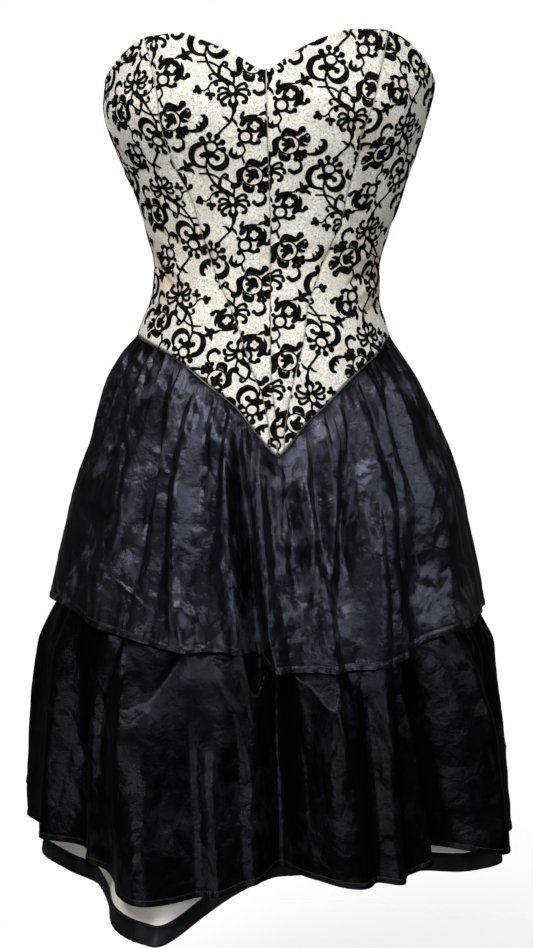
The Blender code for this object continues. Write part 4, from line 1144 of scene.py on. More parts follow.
def hem_relief(azimuth, drop, deep, seed):
    """A turned-up hem: a little thicker, drawn in at its stitches and puckered along them."""
    angle = np.radians(azimuth)
    start = np.random.default_rng(seed).uniform(0, 6)
    puckers = np.cos(190 * angle + 3 * np.sin(11 * angle + start)) * (0.6 + 0.4 * np.sin(17 * angle))
    turned_up = HEM_THICK * (1 - rise(drop, deep - HEM_STEP, deep + HEM_STEP))
    drawn_in = HEM_DRAWN_IN * bell(drop - deep, HEM_DRAWN_WIDE)
    return turned_up - drawn_in + HEM_PUCKER * puckers * bell(drop - deep, HEM_PUCKER_WIDE)


def settle(start, end, columns, downs, levels, layer):
    """Azimuths and heights of a grid between two azimuths, with its rows at the given levels."""
    across = np.linspace(0, 1, columns + 1)[None, :]
    down = np.asarray(downs, float)[:, None]
    azimuth = start + (end - start) * across + 0 * down
    for _ in range(TIER_SETTLE_STEPS):
        stages = levels(azimuth)
        height = stages[0]
        for k, (upper, lower) in enumerate(zip(stages, stages[1:])):
            height = height + (lower - upper) * np.clip(down - k, 0, 1)
        reach = layer(azimuth, height)
        first = start + np.degrees(half_gap(height, start) / reach)
        last = end - np.degrees(half_gap(height, end) / reach)
        azimuth = first * (1 - across) + last * across
    return azimuth, height


def upper_cloth(azimuth, height, start, end):
    """The upper tier's outer face."""
    radius = upper_radius(azimuth, height)
    top, hem = upper_levels(azimuth)
    share = between(height, top, hem)
    away = 1 - near_zip(azimuth, height)
    radius = radius + fine_gathers(azimuth, share, seed=5) * away
    creases = UPPER_CREASES + scattered(UPPER_SCATTER, end)
    fade = rise(share, 0, 0.05) * (1 - 0.6 * rise(share, 0.95, 1))
    radius = radius + crease_relief(azimuth, height, radius, creases) * fade * away
    swell = UPPER_SWELL * soft_noise(azimuth, height, seed=8, scale=UPPER_SWELL_LONG)
    radius = radius + swell * rise(share, 0.1, 0.4)
    radius = radius + hem_relief(azimuth, height - hem, UPPER_HEM_DEEP, seed=3)
    return radius - side_seam(azimuth, start, end, radius)


def lower_cloth(azimuth, height, start, end):
    """The lower tier's outer face."""
    radius = lower_radius(azimuth, height)
    hem = round_table(azimuth, LOWER_HEM, "height")
    share = between(height, LOWER_TOP, hem)
    creases = LOWER_CREASES + scattered(LOWER_SCATTER, end)
    fade = rise(share, 0.1, 0.3) * (1 - 0.6 * rise(share, 0.95, 1))
    radius = radius + crease_relief(azimuth, height, radius, creases) * fade
    swell = LOWER_SWELL * soft_noise(azimuth, height, seed=9, scale=LOWER_SWELL_LONG)
    radius = radius + (swell + 0.5 * fine_gathers(azimuth, share, seed=6)) * fade
    radius = radius + hem_relief(azimuth, height - hem, LOWER_HEM_DEEP, seed=4)
    return radius - side_seam(azimuth, start, end, radius)


def petticoat_cloth(azimuth, height, start, end):
    """The petticoat's outer face, down to the seam of its band."""
    radius = petticoat_radius(azimuth, height)
    seen = rise(-height, -LOWER_TOP, -LOWER_TOP + 60 * MM)
    creases = scattered(PETTICOAT_SCATTER, end)
    radius = radius + crease_relief(azimuth, height, radius, creases) * seen * 0.7
    swell = seen * PETTICOAT_SWELL * soft_noise(azimuth, height, seed=10, scale=PETTICOAT_SWELL_LONG)
    radius = radius + swell
    return radius - side_seam(azimuth, start, end, radius)


def band_cloth(azimuth, height, start, end):
    """The satin band's outer face: folded over the hem, with small puckers along both stitched edges."""
    radius = petticoat_radius(azimuth, height)
    top, bottom = band_levels(azimuth)
    share = between(height, top, bottom)
    angle = np.radians(azimuth)
    puckers = np.cos(150 * angle + 2.5 * np.sin(13 * angle))
    puckers = puckers + 0.7 * np.cos(233 * angle + 2 * np.sin(9 * angle))
    radius = radius + BAND_PUCKER * puckers * (1.2 - np.sin(np.pi * share))
    radius = radius - BAND_EDGE_DEEP * (1 - rise(share, 0, 0.06)) - BAND_EDGE_DEEP * rise(share, 0.94, 1)
    return radius - side_seam(azimuth, start, end, radius)


def side_seam(azimuth, start, end, radius):
    """How far the cloth turns in at the seams at both ends of a piece."""
    nearest = np.minimum(np.abs(turned(azimuth, start)), np.abs(turned(azimuth, end)))
    return SIDE_SEAM_DEEP * groove(nearest * np.radians(1) * radius, SIDE_SEAM_WIDE)


def tier_piece(name, node, span, columns, downs, layer, finish):
    """A shell for one piece of a layer, in place of its node, with painted shade in the puckers under its top
    edge.
    """
    azimuth, height = settle(*span, columns, downs, layer.levels, layer.radius)
    grid = points(azimuth, layer.cloth(azimuth, height, *span), height)
    angle = np.radians(azimuth)
    uneven = 1 + 0.5 * np.sin(37 * angle + 2 * np.sin(5 * angle)) + 0.3 * np.sin(61 * angle)
    # Painted shade in the puckers under the top edge
    shade = PUCKER_SHADE * bell(layer.levels(azimuth)[0] - height, PUCKER_SHADE_DEEP * uneven)
    piece, cut = cloth_shell(name, grid, layer.thickness, finish, {"shade": shade})
    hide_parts(node)
    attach(piece, "dress")
    return piece, cut


def spread(*stages):
    """Row places: for each stage, its first level, its last level and how many steps between them."""
    rows = [np.linspace(first, last, steps, endpoint=False) for first, last, steps in stages]
    return np.concatenate((*rows, [stages[-1][1]]))


# Finishes


def feed(tree, node, inputs):
    """Links or sets a node's inputs, each by its name, with _ for a space, or its number, as in i0."""
    for key, value in inputs.items():
        socket = node.inputs[int(key[1:])] if key[1:].isdigit() else node.inputs[key.replace("_", " ")]
        if isinstance(value, bpy.types.NodeSocket):
            tree.links.new(value, socket)
        else:
            socket.default_value = value


def adder(tree):
    """A function that adds a node to the tree, with its settings and inputs."""

    def add(kind, settings=(), **inputs):
        node = tree.nodes.new(kind)
        for key, value in dict(settings).items():
            setattr(node, key, value)
        feed(tree, node, inputs)
        return node

    return add


def new_material(name):
    """A material, functions that add its nodes and feed its shader, and the place on the object."""
    made = bpy.data.materials.new(name)
    made.use_nodes = True
    tree = made.node_tree
    add = adder(tree)

    def shade(**inputs):
        feed(tree, tree.nodes["Principled BSDF"], inputs)

    return made, add, shade, add("ShaderNodeTexCoord").outputs["Object"]


def ramp_of(add, factor, stops):
    """A colour ramp through the given (place, colour) stops."""
    ramp = add("ShaderNodeValToRGB", Fac=factor)
    elements = ramp.color_ramp.elements
    for k, (place_at, colour) in enumerate(stops):
        element = elements[k] if k < 2 else elements.new(place_at)
        element.position = place_at
        element.color = (*colour, 1)
    return ramp.outputs["Color"]


def marked(add, attribute):
    """The value that the mesh gives each of its points."""
    return add("ShaderNodeAttribute", {"attribute_name": attribute}).outputs["Fac"]


def noise(add, place_at, scale, detail, roughness=0.5, distortion=0.0):
    """Soft noise, scale lumps to the metre."""
    lumps = {"Scale": scale, "Detail": detail, "Roughness": roughness, "Distortion": distortion}
    return add("ShaderNodeTexNoise", Vector=place_at, **lumps).outputs["Fac"]


def maths(add, operation, *values, clamped=False):
    """The result of a calculation."""
    numbered = {f"i{k}": value for k, value in enumerate(values)}
    return add("ShaderNodeMath", {"operation": operation, "use_clamp": clamped}, **numbered).outputs[0]


def spanned(add, value, low, high, first, last):
    """First where the value is low or less, last where it is high or more, and even between."""
    return add("ShaderNodeMapRange", Value=value, i1=low, i2=high, i3=first, i4=last).outputs["Result"]


def mixed(add, share, base, colour):
    """The base, or the colour where the share is 1."""
    return add("ShaderNodeMix", {"data_type": "RGBA"}, i0=share, i6=base, i7=(*colour, 1)).outputs[2]


def bumped(add, height, strength, distance, **under):
    """The surface's direction, bent by a height."""
    bump = add("ShaderNodeBump", Strength=strength, Distance=distance, Height=height, **under)
    return bump.outputs["Normal"]


def threads(add, way, count, distortion):
    """The threads of a weave, on the cloth's own coordinates."""
    uv = add("ShaderNodeUVMap", {"uv_map": "UVMap"}).outputs["UV"]
    wave = add("ShaderNodeTexWave", {"bands_direction": way}, Vector=uv, Scale=count, Distortion=distortion)
    return wave.outputs["Fac"]


def plain_weave(add, distortion):
    """Warp and weft, one over the other."""
    return maths(add, "MAXIMUM", *(threads(add, way, COTTON_THREADS, distortion) for way in "XY"))


def cotton_finish():
    """Cream cotton with slubs, grey clouds and a plain weave, tan in clouds and in the painted shade of its
    folds, and dark in the painted shade of its seams.
    """
    made, add, shade, place_at = new_material("cream_cotton")
    slubs = noise(add, place_at, 520.0, 4.0, 0.7)
    clouds = noise(add, place_at, 38.0, 4.0, 0.6)
    greys = noise(add, place_at, 70.0, 3.0, 0.6, 0.4)
    base = ramp_of(add, slubs, ((0.36, COTTON_GREY), (0.5, COTTON_CREAM), (0.66, COTTON_PALE)))
    base = mixed(add, spanned(add, greys, 0.45, 0.68, 0.0, 0.6), base, COTTON_CLOUD)
    # Painted shade in the folds and creases, with random tan clouds
    fold_shade_and_tan_share = maths(add, "ADD", marked(add, "stain"), spanned(add, clouds, 0.46, 0.74, 0.0, 0.4), clamped=True)
    base = mixed(add, fold_shade_and_tan_share, base, TAN_AND_FOLD_SHADE)
    rough = maths(add, "MULTIPLY_ADD", slubs, 2.0, plain_weave(add, 1.2))
    shade(
        Base_Color=mixed(add, marked(add, "shade"), base, SEAM_SHADE),
        Normal=bumped(add, rough, 0.35, 0.0004), Roughness=0.88, Specular_IOR_Level=0.25, Sheen_Weight=0.15,
    )
    return made


def flock_finish():
    """Black flock: matt, a little dusty, with a short pile."""
    made, add, shade, place_at = new_material("black_flock")
    pile = noise(add, place_at, 1800.0, 2.0)
    patches = noise(add, place_at, 55.0, 3.0)
    shade(
        Base_Color=ramp_of(add, patches, ((0.35, FLOCK_BLACK), (0.75, FLOCK_DUSTY))),
        Normal=bumped(add, pile, 0.5, 0.0003), Roughness=0.95, Specular_IOR_Level=0.04,
    )
    return made


def satin_finish(satin):
    """Black satin with threads that run down, patches of sheen that are glossier and also painted pale into
    its colour, and crumples and creases large and fine.

    It is dark and dull by its shade, which marks its puckers.
    """
    made, add, shade, place_at = new_material(satin.name)
    turned_to = add("ShaderNodeMapping", Vector=place_at, Scale=(1.0, 1.0, 0.6), Rotation=(0.25, 0.3, 0.0))
    drawn_out = turned_to.outputs[0]
    blotches = noise(add, drawn_out, satin.patches, 4.0, 0.62, 0.5)
    crumple = noise(add, place_at, 80.0, 3.0, 0.5, 0.4)
    swells = noise(add, drawn_out, satin.patches * 0.57, 2.5, 0.5, 0.4)
    flecks = noise(add, drawn_out, 85.0, 3.0, 0.55, 0.8)
    bent = noise(add, drawn_out, 15.0, 1.5, 0.5, 0.5)
    # Painted sheen: pale blotches in the satin's colour stand in for its shine
    sheen = maths(add, "ADD", blotches, maths(add, "MULTIPLY_ADD", flecks, 0.42, -0.21))
    base = ramp_of(add, sheen, tuple(zip(SATIN_STOPS, satin.colours)))
    # Painted shade in the puckers, which also dulls the gloss
    puckers = marked(add, "shade")
    smooth_at, rough_at = satin.roughness
    small = maths(add, "MULTIPLY_ADD", threads(add, "X", SATIN_THREADS, 0.6), 0.04, crumple)
    crease = maths(add, "ABSOLUTE", maths(add, "SUBTRACT", bent, 0.5))
    large = maths(add, "MULTIPLY_ADD", crease, 0.45, swells)
    fine = bumped(add, small, 0.6, satin.crumpled / 8)
    shade(
        Base_Color=mixed(add, puckers, base, satin.colours[0]),
        Roughness=spanned(add, blotches, 0.3, 0.75, rough_at, smooth_at),
        Specular_IOR_Level=spanned(add, puckers, 0.0, 1.0, 0.5, 0.08),
        Specular_Tint=(*SATIN_BLOOM, 1), IOR=satin.gloss_index,
        Normal=bumped(add, large, 1.0, satin.crumpled, Normal=fine),
    )
    return made


def lining_finish():
    """Stone grey petticoat cloth, matt, with a fine plain weave and faint marks."""
    made, add, shade, place_at = new_material("stone_lining")
    marks = noise(add, place_at, 30.0, 5.0, 0.6)
    shade(
        Base_Color=ramp_of(add, marks, ((0.3, LINING_DARK), (0.7, LINING_PALE))),
        Normal=bumped(add, plain_weave(add, 0.8), 0.2, 0.0003),
        Roughness=0.8, Specular_IOR_Level=0.3, Sheen_Weight=0.1,
    )
    return made


def trim_finish(name, colour, roughness, metallic, grain, depth):
    """Thread, tape, nylon or metal with a fine grain."""
    made, add, shade, place_at = new_material(name)
    texture = noise(add, place_at, grain, 3.0)
    pale = tuple(min(1.0, channel * 1.6 + 0.004) for channel in colour)
    shade(
        Base_Color=ramp_of(add, texture, ((0.3, colour), (0.75, pale))),
        Normal=bumped(add, texture, 0.3, depth), Roughness=roughness, Metallic=metallic,
    )
    return made


# The flocked pattern


def curve_through(path, steps):
    """A smooth curve through the points, and its place along them at each step."""
    path = np.array(path, float)
    stretched = len(path) == 2
    if stretched:
        path = np.array((path[0], path.mean(axis=0), path[1]))
    ends = np.concatenate(([2 * path[0] - path[1]], path, [2 * path[-1] - path[-2]]))
    at = np.linspace(0, len(path) - 1, steps * (len(path) - 1) + 1)
    k = np.minimum(at.astype(int), len(path) - 2)
    f = (at - k)[:, None]
    a, b, c, d = ends[k], ends[k + 1], ends[k + 2], ends[k + 3]
    curve = 0.5 * (2 * b + (c - a) * f + (2 * a - 5 * b + 4 * c - d) * f**2 + (3 * b - a - 3 * c + d) * f**3)
    return curve, at / 2 if stretched else at


def outline_of(shape):
    """The closed outline of a line or a spot."""
    if isinstance(shape, Spot):
        sides = 8 + 2 * int(max(shape.across, shape.up))
        angle = np.linspace(0, 2 * np.pi, sides, endpoint=False)
        swell = INK_SWELL / 2 if shape.ink else 0
        x, y = (shape.across + swell) * np.cos(angle), (shape.up + swell) * np.sin(angle)
        turn = math.radians(shape.turn)
        along, aside = math.cos(turn), math.sin(turn)
        return np.stack((shape.x + x * along - y * aside, shape.y + x * aside + y * along), 1)
    curve, at = curve_through(shape.path, CURVE_STEPS)
    half = np.interp(at, range(len(shape.widths)), shape.widths)[:, None] / 2
    if shape.ink:
        half = half + INK_SWELL / 2 * np.minimum(1, half)
    ahead = np.gradient(curve, axis=0)
    ahead = ahead / np.linalg.norm(ahead, axis=1, keepdims=True)
    aside = np.stack((-ahead[:, 1], ahead[:, 0]), 1)
    caps = []
    for end, way in ((-1, 1), (0, -1)):
        if half[end, 0] > 0.5:
            angle = np.linspace(0, np.pi, 6)[1:-1, None]
            rounded = way * aside[end] * np.cos(angle) + way * ahead[end] * np.sin(angle)
            caps.append(curve[end] + half[end] * rounded)
        else:
            caps.append(np.empty((0, 2)))
    return np.concatenate((curve + aside * half, caps[0], (curve - aside * half)[::-1], caps[1]))


def drawn_shapes():
    """Every outline of the pattern in drawing order, with whether it lays flock or bares it."""
    shapes = []
    for placed in PATTERN:
        for shape in placed.motif:
            shapes.append((shape.ink, outline_of(shape) + (placed.x, placed.y)))
    return shapes


def repeats_over(shapes, low, high):
    """The outlines with all their repeats that reach into a rectangle, in drawing order."""
    found = []
    for ink, outline in shapes:
        least, most = outline.min(axis=0), outline.max(axis=0)
        first_column = math.ceil((low[0] - most[0]) / REPEAT_WIDE)
        last_column = math.floor((high[0] - least[0]) / REPEAT_WIDE)
        for column in range(first_column, last_column + 1):
            drop = column * REPEAT_TALL / 2
            first_row = math.ceil((low[1] - most[1] - drop) / REPEAT_TALL)
            last_row = math.floor((high[1] - least[1] - drop) / REPEAT_TALL)
            for row in range(first_row, last_row + 1):
                found.append((ink, outline + (column * REPEAT_WIDE, drop + row * REPEAT_TALL)))
    return found


def within(outline, places):
    """Which places a closed outline winds round."""
    turns = np.zeros(len(places), int)
    x, y = places[:, 0], places[:, 1]
    for (ax, ay), (bx, by) in zip(outline, np.roll(outline, -1, axis=0)):
        if ay != by:
            crosses = ((ay > y) != (by > y)) & (x < ax + (y - ay) * (bx - ax) / (by - ay))
            turns += np.where(crosses, 1 if by > ay else -1, 0)
    return turns != 0


def flocked(shapes, places):
    """Which places the drawing leaves black."""
    black = np.zeros(len(places), bool)
    for ink, outline in shapes:
        low, high = outline.min(axis=0), outline.max(axis=0)
        near = np.flatnonzero(((places > low) & (places < high)).all(axis=1))
        if len(near):
            black[near[within(outline, places[near])]] = ink
    return black


def triangulated(places, edges):
    """Triangles between the places that keep the edges. They wind the way that azimuth and height turn."""
    made = geometry.delaunay_2d_cdt([Vector(place) for place in places.tolist()], edges.tolist(), [], 0, 1e-4)
    places = np.array([tuple(place) for place in made[0]])
    faces = np.array(made[2], np.int64)
    a, b, c = (places[faces[:, k]] for k in range(3))
    area = (b[:, 0] - a[:, 0]) * (c[:, 1] - a[:, 1]) - (b[:, 1] - a[:, 1]) * (c[:, 0] - a[:, 0])
    return places, np.where(area[:, None] < 0, faces[:, ::-1], faces)


def loop_edges(count, first):
    """The edges of a closed loop, as pairs of point numbers."""
    at = np.arange(count)
    return np.stack((at, (at + 1) % count), 1) + first


def border_of(faces):
    """The directed edges that only one face has."""
    edges = np.concatenate((faces[:, (0, 1)], faces[:, (1, 2)], faces[:, (2, 0)]))
    _, first, count = np.unique(np.sort(edges, axis=1), axis=0, return_index=True, return_counts=True)
    return edges[first[count == 1]]


def repeat_border(shapes):
    """The edges between black and bare in one repeat, as pairs of places."""
    corners = np.array(((0, 0), (REPEAT_WIDE, 0), (REPEAT_WIDE, REPEAT_TALL), (0, REPEAT_TALL)), float)
    near = repeats_over(shapes, corners[0], corners[2])
    outlines = [corners] + [outline for _, outline in near]
    firsts = np.cumsum([0] + [len(outline) for outline in outlines])
    edges = [loop_edges(len(outline), first) for outline, first in zip(outlines, firsts)]
    places, faces = triangulated(np.concatenate(outlines), np.concatenate(edges))
    middles = places[faces].mean(axis=1)
    kept = ((middles > corners[0]) & (middles < corners[2])).all(axis=1)
    kept[kept] = flocked(near, middles[kept])
    ends = places[border_of(faces[kept])]
    on_side = [(np.abs(ends - side) < 1e-3).all(axis=1).any(axis=1) for side in (corners[0], corners[2])]
    return ends[~(on_side[0] | on_side[1])]


def repeated_border(border, low, high):
    """The border's edges in every repeat that meets a rectangle, as places and pairs of their numbers."""
    found = []
    for column in range(math.floor(low[0] / REPEAT_WIDE), math.floor(high[0] / REPEAT_WIDE) + 1):
        drop = column * REPEAT_TALL / 2
        lowest, highest = (math.floor((edge[1] - drop) / REPEAT_TALL) for edge in (low, high))
        for row in range(lowest, highest + 1):
            moved = border + (column * REPEAT_WIDE, drop + row * REPEAT_TALL)
            meets = (moved.max(axis=1) > low).all(axis=1) & (moved.min(axis=1) < high).all(axis=1)
            found.append(moved[meets])
    ends = np.concatenate(found).reshape(-1, 2)
    _, first, number = np.unique(np.round(ends, 3), axis=0, return_index=True, return_inverse=True)
    edges = number.reshape(-1, 2)
    return ends[first], edges[edges[:, 0] != edges[:, 1]]


class Draping:
    """Carries the flat pattern onto a panel's cloth and back.

    In the pattern x runs round the dress and y up.
    """

    def __init__(self, panel, grid):
        self.panel, self.grid, self.normals = panel, grid, grid_normals(grid)
        self.print_at = PRINTS[panel.name]
        self.scale = (-PRINT_SCALE if self.print_at.upside_down else PRINT_SCALE) * MM
        self.azimuths = self.print_at.azimuth + np.linspace(-ARC_REACH, ARC_REACH, ARC_POINTS)
        self.heights = np.arange(ARC_LOWEST, ARC_HIGHEST, ARC_STEP)
        azimuth, height = np.meshgrid(self.azimuths, self.heights)
        net = points(azimuth, bodice_radius(azimuth, height), height)
        along = self.measured(net, 1)
        grain = np.array([[np.interp(self.print_at.grain, self.azimuths, row)] for row in along])
        middle = np.interp(self.print_at.height * MM, self.heights, along[:, ARC_POINTS // 2] - grain[:, 0])
        self.round_it = along - grain - middle
        up = self.measured(net, 0)[:, ARC_POINTS // 2]
        self.up_it = up - np.interp(self.print_at.height * MM, self.heights, up)

    def measured(self, net, axis):
        """Lengths along the net's lines in one direction."""
        steps = np.linalg.norm(np.diff(net, axis=axis), axis=-1)
        start = [(0, 0), (0, 0)]
        start[axis] = (1, 0)
        return np.cumsum(np.pad(steps, start), axis=axis)

    def blended(self, height, values, read):
        """What read says of each value on the net's rows below and above its height, blended."""
        rows, part = cell((height - self.heights[0]) / ARC_STEP, len(self.heights))
        low, high = (
            np.array([read(value, self.round_it[k]) for value, k in zip(values, rows + step)])
            for step in (0, 1)
        )
        return low + (high - low) * part

    def flat(self, azimuth, height):
        """The pattern's place at each azimuth and height."""
        near = self.print_at.azimuth + turned(azimuth, self.print_at.azimuth)
        x = self.blended(height, near, lambda azimuth, row: np.interp(azimuth, self.azimuths, row))
        return np.stack((x, np.interp(height, self.heights, self.up_it)), 1) / self.scale

    def shares(self, places):
        """How far across and down the panel's grid each of the pattern's places lies."""
        x, y = (places * self.scale).T
        height = np.interp(y, self.up_it, self.heights)
        azimuth = self.blended(height, x, lambda place, row: np.interp(place, row, self.azimuths))
        first, last = (azimuth - turned(azimuth, end) for end in panel_ends(self.panel, height))
        top = round_table(azimuth, TOP_EDGE, "height")
        bottom = round_table(azimuth, WAIST_SEAM, "height")
        return np.clip((azimuth - first) / (last - first), 0, 1), between(height, top, bottom)

    def laid(self, across, down, lift):
        """Points at shares across and down the cloth, lifted off it."""
        rows, columns = self.grid.shape[:2]
        a, f = cell(down * (rows - 1), rows)
        b, g = cell(across * (columns - 1), columns)
        f, g = f[:, None], g[:, None]
        at, facing = (
            (table[a, b] * (1 - g) + table[a, b + 1] * g) * (1 - f)
            + (table[a + 1, b] * (1 - g) + table[a + 1, b + 1] * g) * f
            for table in (self.grid, self.normals)
        )
        return at + facing * lift


def inset_ring(table):
    """The values a quarter of a cell inside the edge of a grid, all round it."""
    pulled = table.copy()
    pulled[0], pulled[-1] = (0.75 * table[k] + 0.25 * table[n] for k, n in ((0, 1), (-1, -2)))
    pulled[:, 0], pulled[:, -1] = (0.75 * pulled[:, k] + 0.25 * pulled[:, n] for k, n in ((0, 1), (-1, -2)))
    return np.concatenate((pulled[0, :-1], pulled[:-1, -1], pulled[-1, :0:-1], pulled[:0:-1, 0]))


def make_flock(panel, grid, azimuth, height, border, shapes, finish):
    """The flock of one panel: a thin raised layer, cut off at the panel's seams."""
    draping = Draping(panel, grid)
    rim = draping.flat(inset_ring(azimuth), inset_ring(height))
    low, high = rim.min(axis=0), rim.max(axis=0)
    near = repeats_over(shapes, low, high)
    ends, edges = repeated_border(border, low, high)
    steps = np.arange(low[0], high[0], FLOCK_CELL), np.arange(low[1], high[1], FLOCK_CELL * FLOCK_ROW)
    x, y = np.meshgrid(*steps)
    x[1::2] += FLOCK_CELL / 2
    inner = np.stack((x, y), -1).reshape(-1, 2)
    inner = inner[within(rim, inner)]
    inner = inner[flocked(near, inner)]
    loops = loop_edges(len(rim), len(ends) + len(inner))
    places, faces = triangulated(np.concatenate((ends, inner, rim)), np.concatenate((edges, loops)))
    middles = places[faces].mean(axis=1)
    kept = within(rim, middles)
    kept[kept] = flocked(near, middles[kept])
    used, faces = np.unique(faces[kept], return_inverse=True)
    faces = faces.reshape(-1, 3)
    shares = draping.shares(places[used])
    top, bottom = (draping.laid(*shares, lift) for lift in (FLOCK_UP, -FLOCK_UNDER))
    outer = border_of(faces)
    walls = np.stack((outer[:, 1], outer[:, 0], outer[:, 0] + len(top), outer[:, 1] + len(top)), 1)
    layers = np.concatenate((faces, faces[:, ::-1] + len(top)))
    name = panel.name.replace("bodice", "flock")
    piece = make_mesh(name, np.concatenate((top, bottom)), (layers, walls), finish)
    piece.data.set_sharp_from_angle(angle=SHARP_FLOCK)
    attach(piece, "dress")
    return piece


# The bodice


def panel_seams(panel, height):
    """The azimuths of a panel's two seams at the given heights, the first one the lower."""
    first, last = (
        smooth(height / MM, [row.height for row in seam], [row.azimuth for row in seam])
        for seam in (panel.first, panel.last)
    )
    return np.where(first > last, first - 360, first), last


def panel_ends(panel, height):
    """The azimuths of a panel's two edges, which stop short of its seams."""
    first, last = panel_seams(panel, height)
    reach = bodice_radius(first, height)
    first_gap = np.degrees(half_gap(height, panel.first[0].azimuth) / reach)
    last_gap = np.degrees(half_gap(height, panel.last[0].azimuth) / reach)
    return first + first_gap, last - last_gap


def panel_grid(panel, columns, rows):
    """Azimuths and heights of a panel's grid, settled on its edges."""
    across = np.linspace(0, 1, columns + 1)[None, :]
    down = np.linspace(0, 1, rows + 1)[:, None]
    height = FIRST_TOP * (1 - down) + FIRST_BOTTOM * down + 0 * across
    for _ in range(SETTLE_STEPS):
        first, last = panel_ends(panel, height)
        azimuth = first * (1 - across) + last * across
        top = round_table(azimuth, TOP_EDGE, "height")
        bottom = round_table(azimuth, WAIST_SEAM, "height")
        height = top + (bottom - top) * down
    return azimuth, height


def seam_distance(panel, azimuth, height, radius):
    """How far the nearer seam of a panel is."""
    first, last = panel_seams(panel, height)
    return np.minimum(azimuth - first, last - azimuth) * np.radians(1) * radius


def bodice_cloth(panel, azimuth, height):
    """The bodice's outer face: turned in at its seams, stitched below its top edge, and creased."""
    radius = bodice_radius(azimuth, height)
    from_seam = seam_distance(panel, azimuth, height, radius)
    from_stitches = round_table(azimuth, TOP_EDGE, "height") - height - TOP_STITCH_DOWN
    from_waist = height - round_table(azimuth, WAIST_SEAM, "height")
    angle = np.radians(azimuth)
    relief = crease_relief(azimuth, height, radius, BODICE_CREASES)
    relief = relief + BODICE_SWELL * soft_noise(azimuth, height, seed=14, scale=BODICE_SWELL_LONG)
    relief = relief - PRINCESS_SEAM_DEEP * groove(from_seam, BODICE_SEAM_WIDE)
    relief = relief - WAIST_SEAM_DEEP * groove(from_waist, BODICE_SEAM_WIDE)
    relief = relief - TOP_STITCH_DEEP * bell(from_stitches, TOP_STITCH_WIDE)
    puckers = np.cos(210 * angle + 3 * np.sin(19 * angle)) * bell(from_stitches, TOP_PUCKER_WIDE)
    return radius + relief + TOP_PUCKER * puckers


def fold_shade_and_tan_of(azimuth, height, radius):
    """How tan the cotton is, as painted shade: most in the folds at the waist's sides and under the arms, and
    along the creases, in uneven blots.
    """
    sides = hill(np.abs(turned(azimuth, 0)) - 78, 42) * hill(height / MM - 10, 95)
    # Painted shade along the creases, where they lift or sink the cloth
    creases = np.abs(crease_relief(azimuth, height, radius, BODICE_CREASES)) / MM
    blots = np.clip(0.5 + 0.5 * soft_noise(azimuth, height, seed=15, scale=30), 0, 1)
    return np.clip(sides * (0.25 + 0.75 * blots) * 0.75 + creases * 0.35, 0, 0.85)


def seam_shade(panel, azimuth, height, radius):
    """How dark the cotton is in its seams: most where the skirt is sewn on."""
    from_waist = height - round_table(azimuth, WAIST_SEAM, "height")
    at_seam = PANEL_SHADE * bell(seam_distance(panel, azimuth, height, radius), PANEL_SHADE_WIDE)
    return np.maximum(at_seam, WAIST_SHADE * np.exp(-((from_waist / WAIST_SHADE_WIDE) ** 4)))


def make_panel(panel, finish, border, shapes, flock):
    """A thin shell in place of a bodice panel, with its flock."""
    azimuth, height = panel_grid(panel, 2, 2)
    rough_size = cut_of(points(azimuth, bodice_radius(azimuth, height), height))["flat"]
    columns, rows = (2 * math.ceil(length / BODICE_CELL / 2) for length in rough_size)
    azimuth, height = panel_grid(panel, columns, rows)
    radius = bodice_cloth(panel, azimuth, height)
    grid = points(azimuth, radius, height)
    # The first mark is painted shade in the folds, in tan; the second is painted shade in the seams
    marks = {"stain": fold_shade_and_tan_of(azimuth, height, radius), "shade": seam_shade(panel, azimuth, height, radius)}
    piece, cut = cloth_shell("cotton_" + panel.name, grid, COTTON_SHELL, finish, marks)
    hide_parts(panel.name)
    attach(piece, "dress")
    pattern = make_flock(panel, grid, azimuth, height, border, shapes, flock)
    below = panel.name.replace("bodice_side", "bodice").replace("bodice", "upper_skirt")
    below = "upper_skirt_front" if "front" in below else below


# Stitches and zip


def grain_tree():
    """A tree that sets rounded grains, such as stitches or teeth, at an even pitch along lines."""
    tree = bpy.data.node_groups.new("grains_along_lines", "GeometryNodeTree")
    sockets = (
        ("Lines", "INPUT", "Geometry"), ("Pitch", "INPUT", "Float"), ("Size", "INPUT", "Vector"),
        ("Unevenness", "INPUT", "Float"), ("Seed", "INPUT", "Int"), ("Finish", "INPUT", "Material"),
        ("Grains", "OUTPUT", "Geometry"),
    )
    for name, way, kind in sockets:
        tree.interface.new_socket(name, in_out=way, socket_type="NodeSocket" + kind)
    add = adder(tree)
    given = add("NodeGroupInput").outputs
    lines = add("GeometryNodeMeshToCurve", Mesh=given["Lines"]).outputs[0]
    spaced = add("GeometryNodeCurveToPoints", {"mode": "LENGTH"}, Curve=lines, Length=given["Pitch"])
    ball = add("GeometryNodeMeshUVSphere", Segments=6, Rings=3, Radius=1.0)
    grain = add("GeometryNodeTransform", Geometry=ball.outputs[0], Scale=given["Size"])
    least, most = (maths(add, way, 1.0, given["Unevenness"]) for way in ("SUBTRACT", "ADD"))
    uneven = add("FunctionNodeRandomValue", {"data_type": "FLOAT"}, i2=least, i3=most, Seed=given["Seed"])
    placed = add(
        "GeometryNodeInstanceOnPoints", Points=spaced.outputs["Points"], Instance=grain.outputs[0],
        Rotation=spaced.outputs["Rotation"], Scale=uneven.outputs[1],
    )
    real = add("GeometryNodeRealizeInstances", Geometry=placed.outputs[0])
    smoothed = add("GeometryNodeSetShadeSmooth", Geometry=real.outputs[0])
    finished = add("GeometryNodeSetMaterial", Geometry=smoothed.outputs[0], Material=given["Finish"])
    add("NodeGroupOutput", Grains=finished.outputs[0])
    return tree


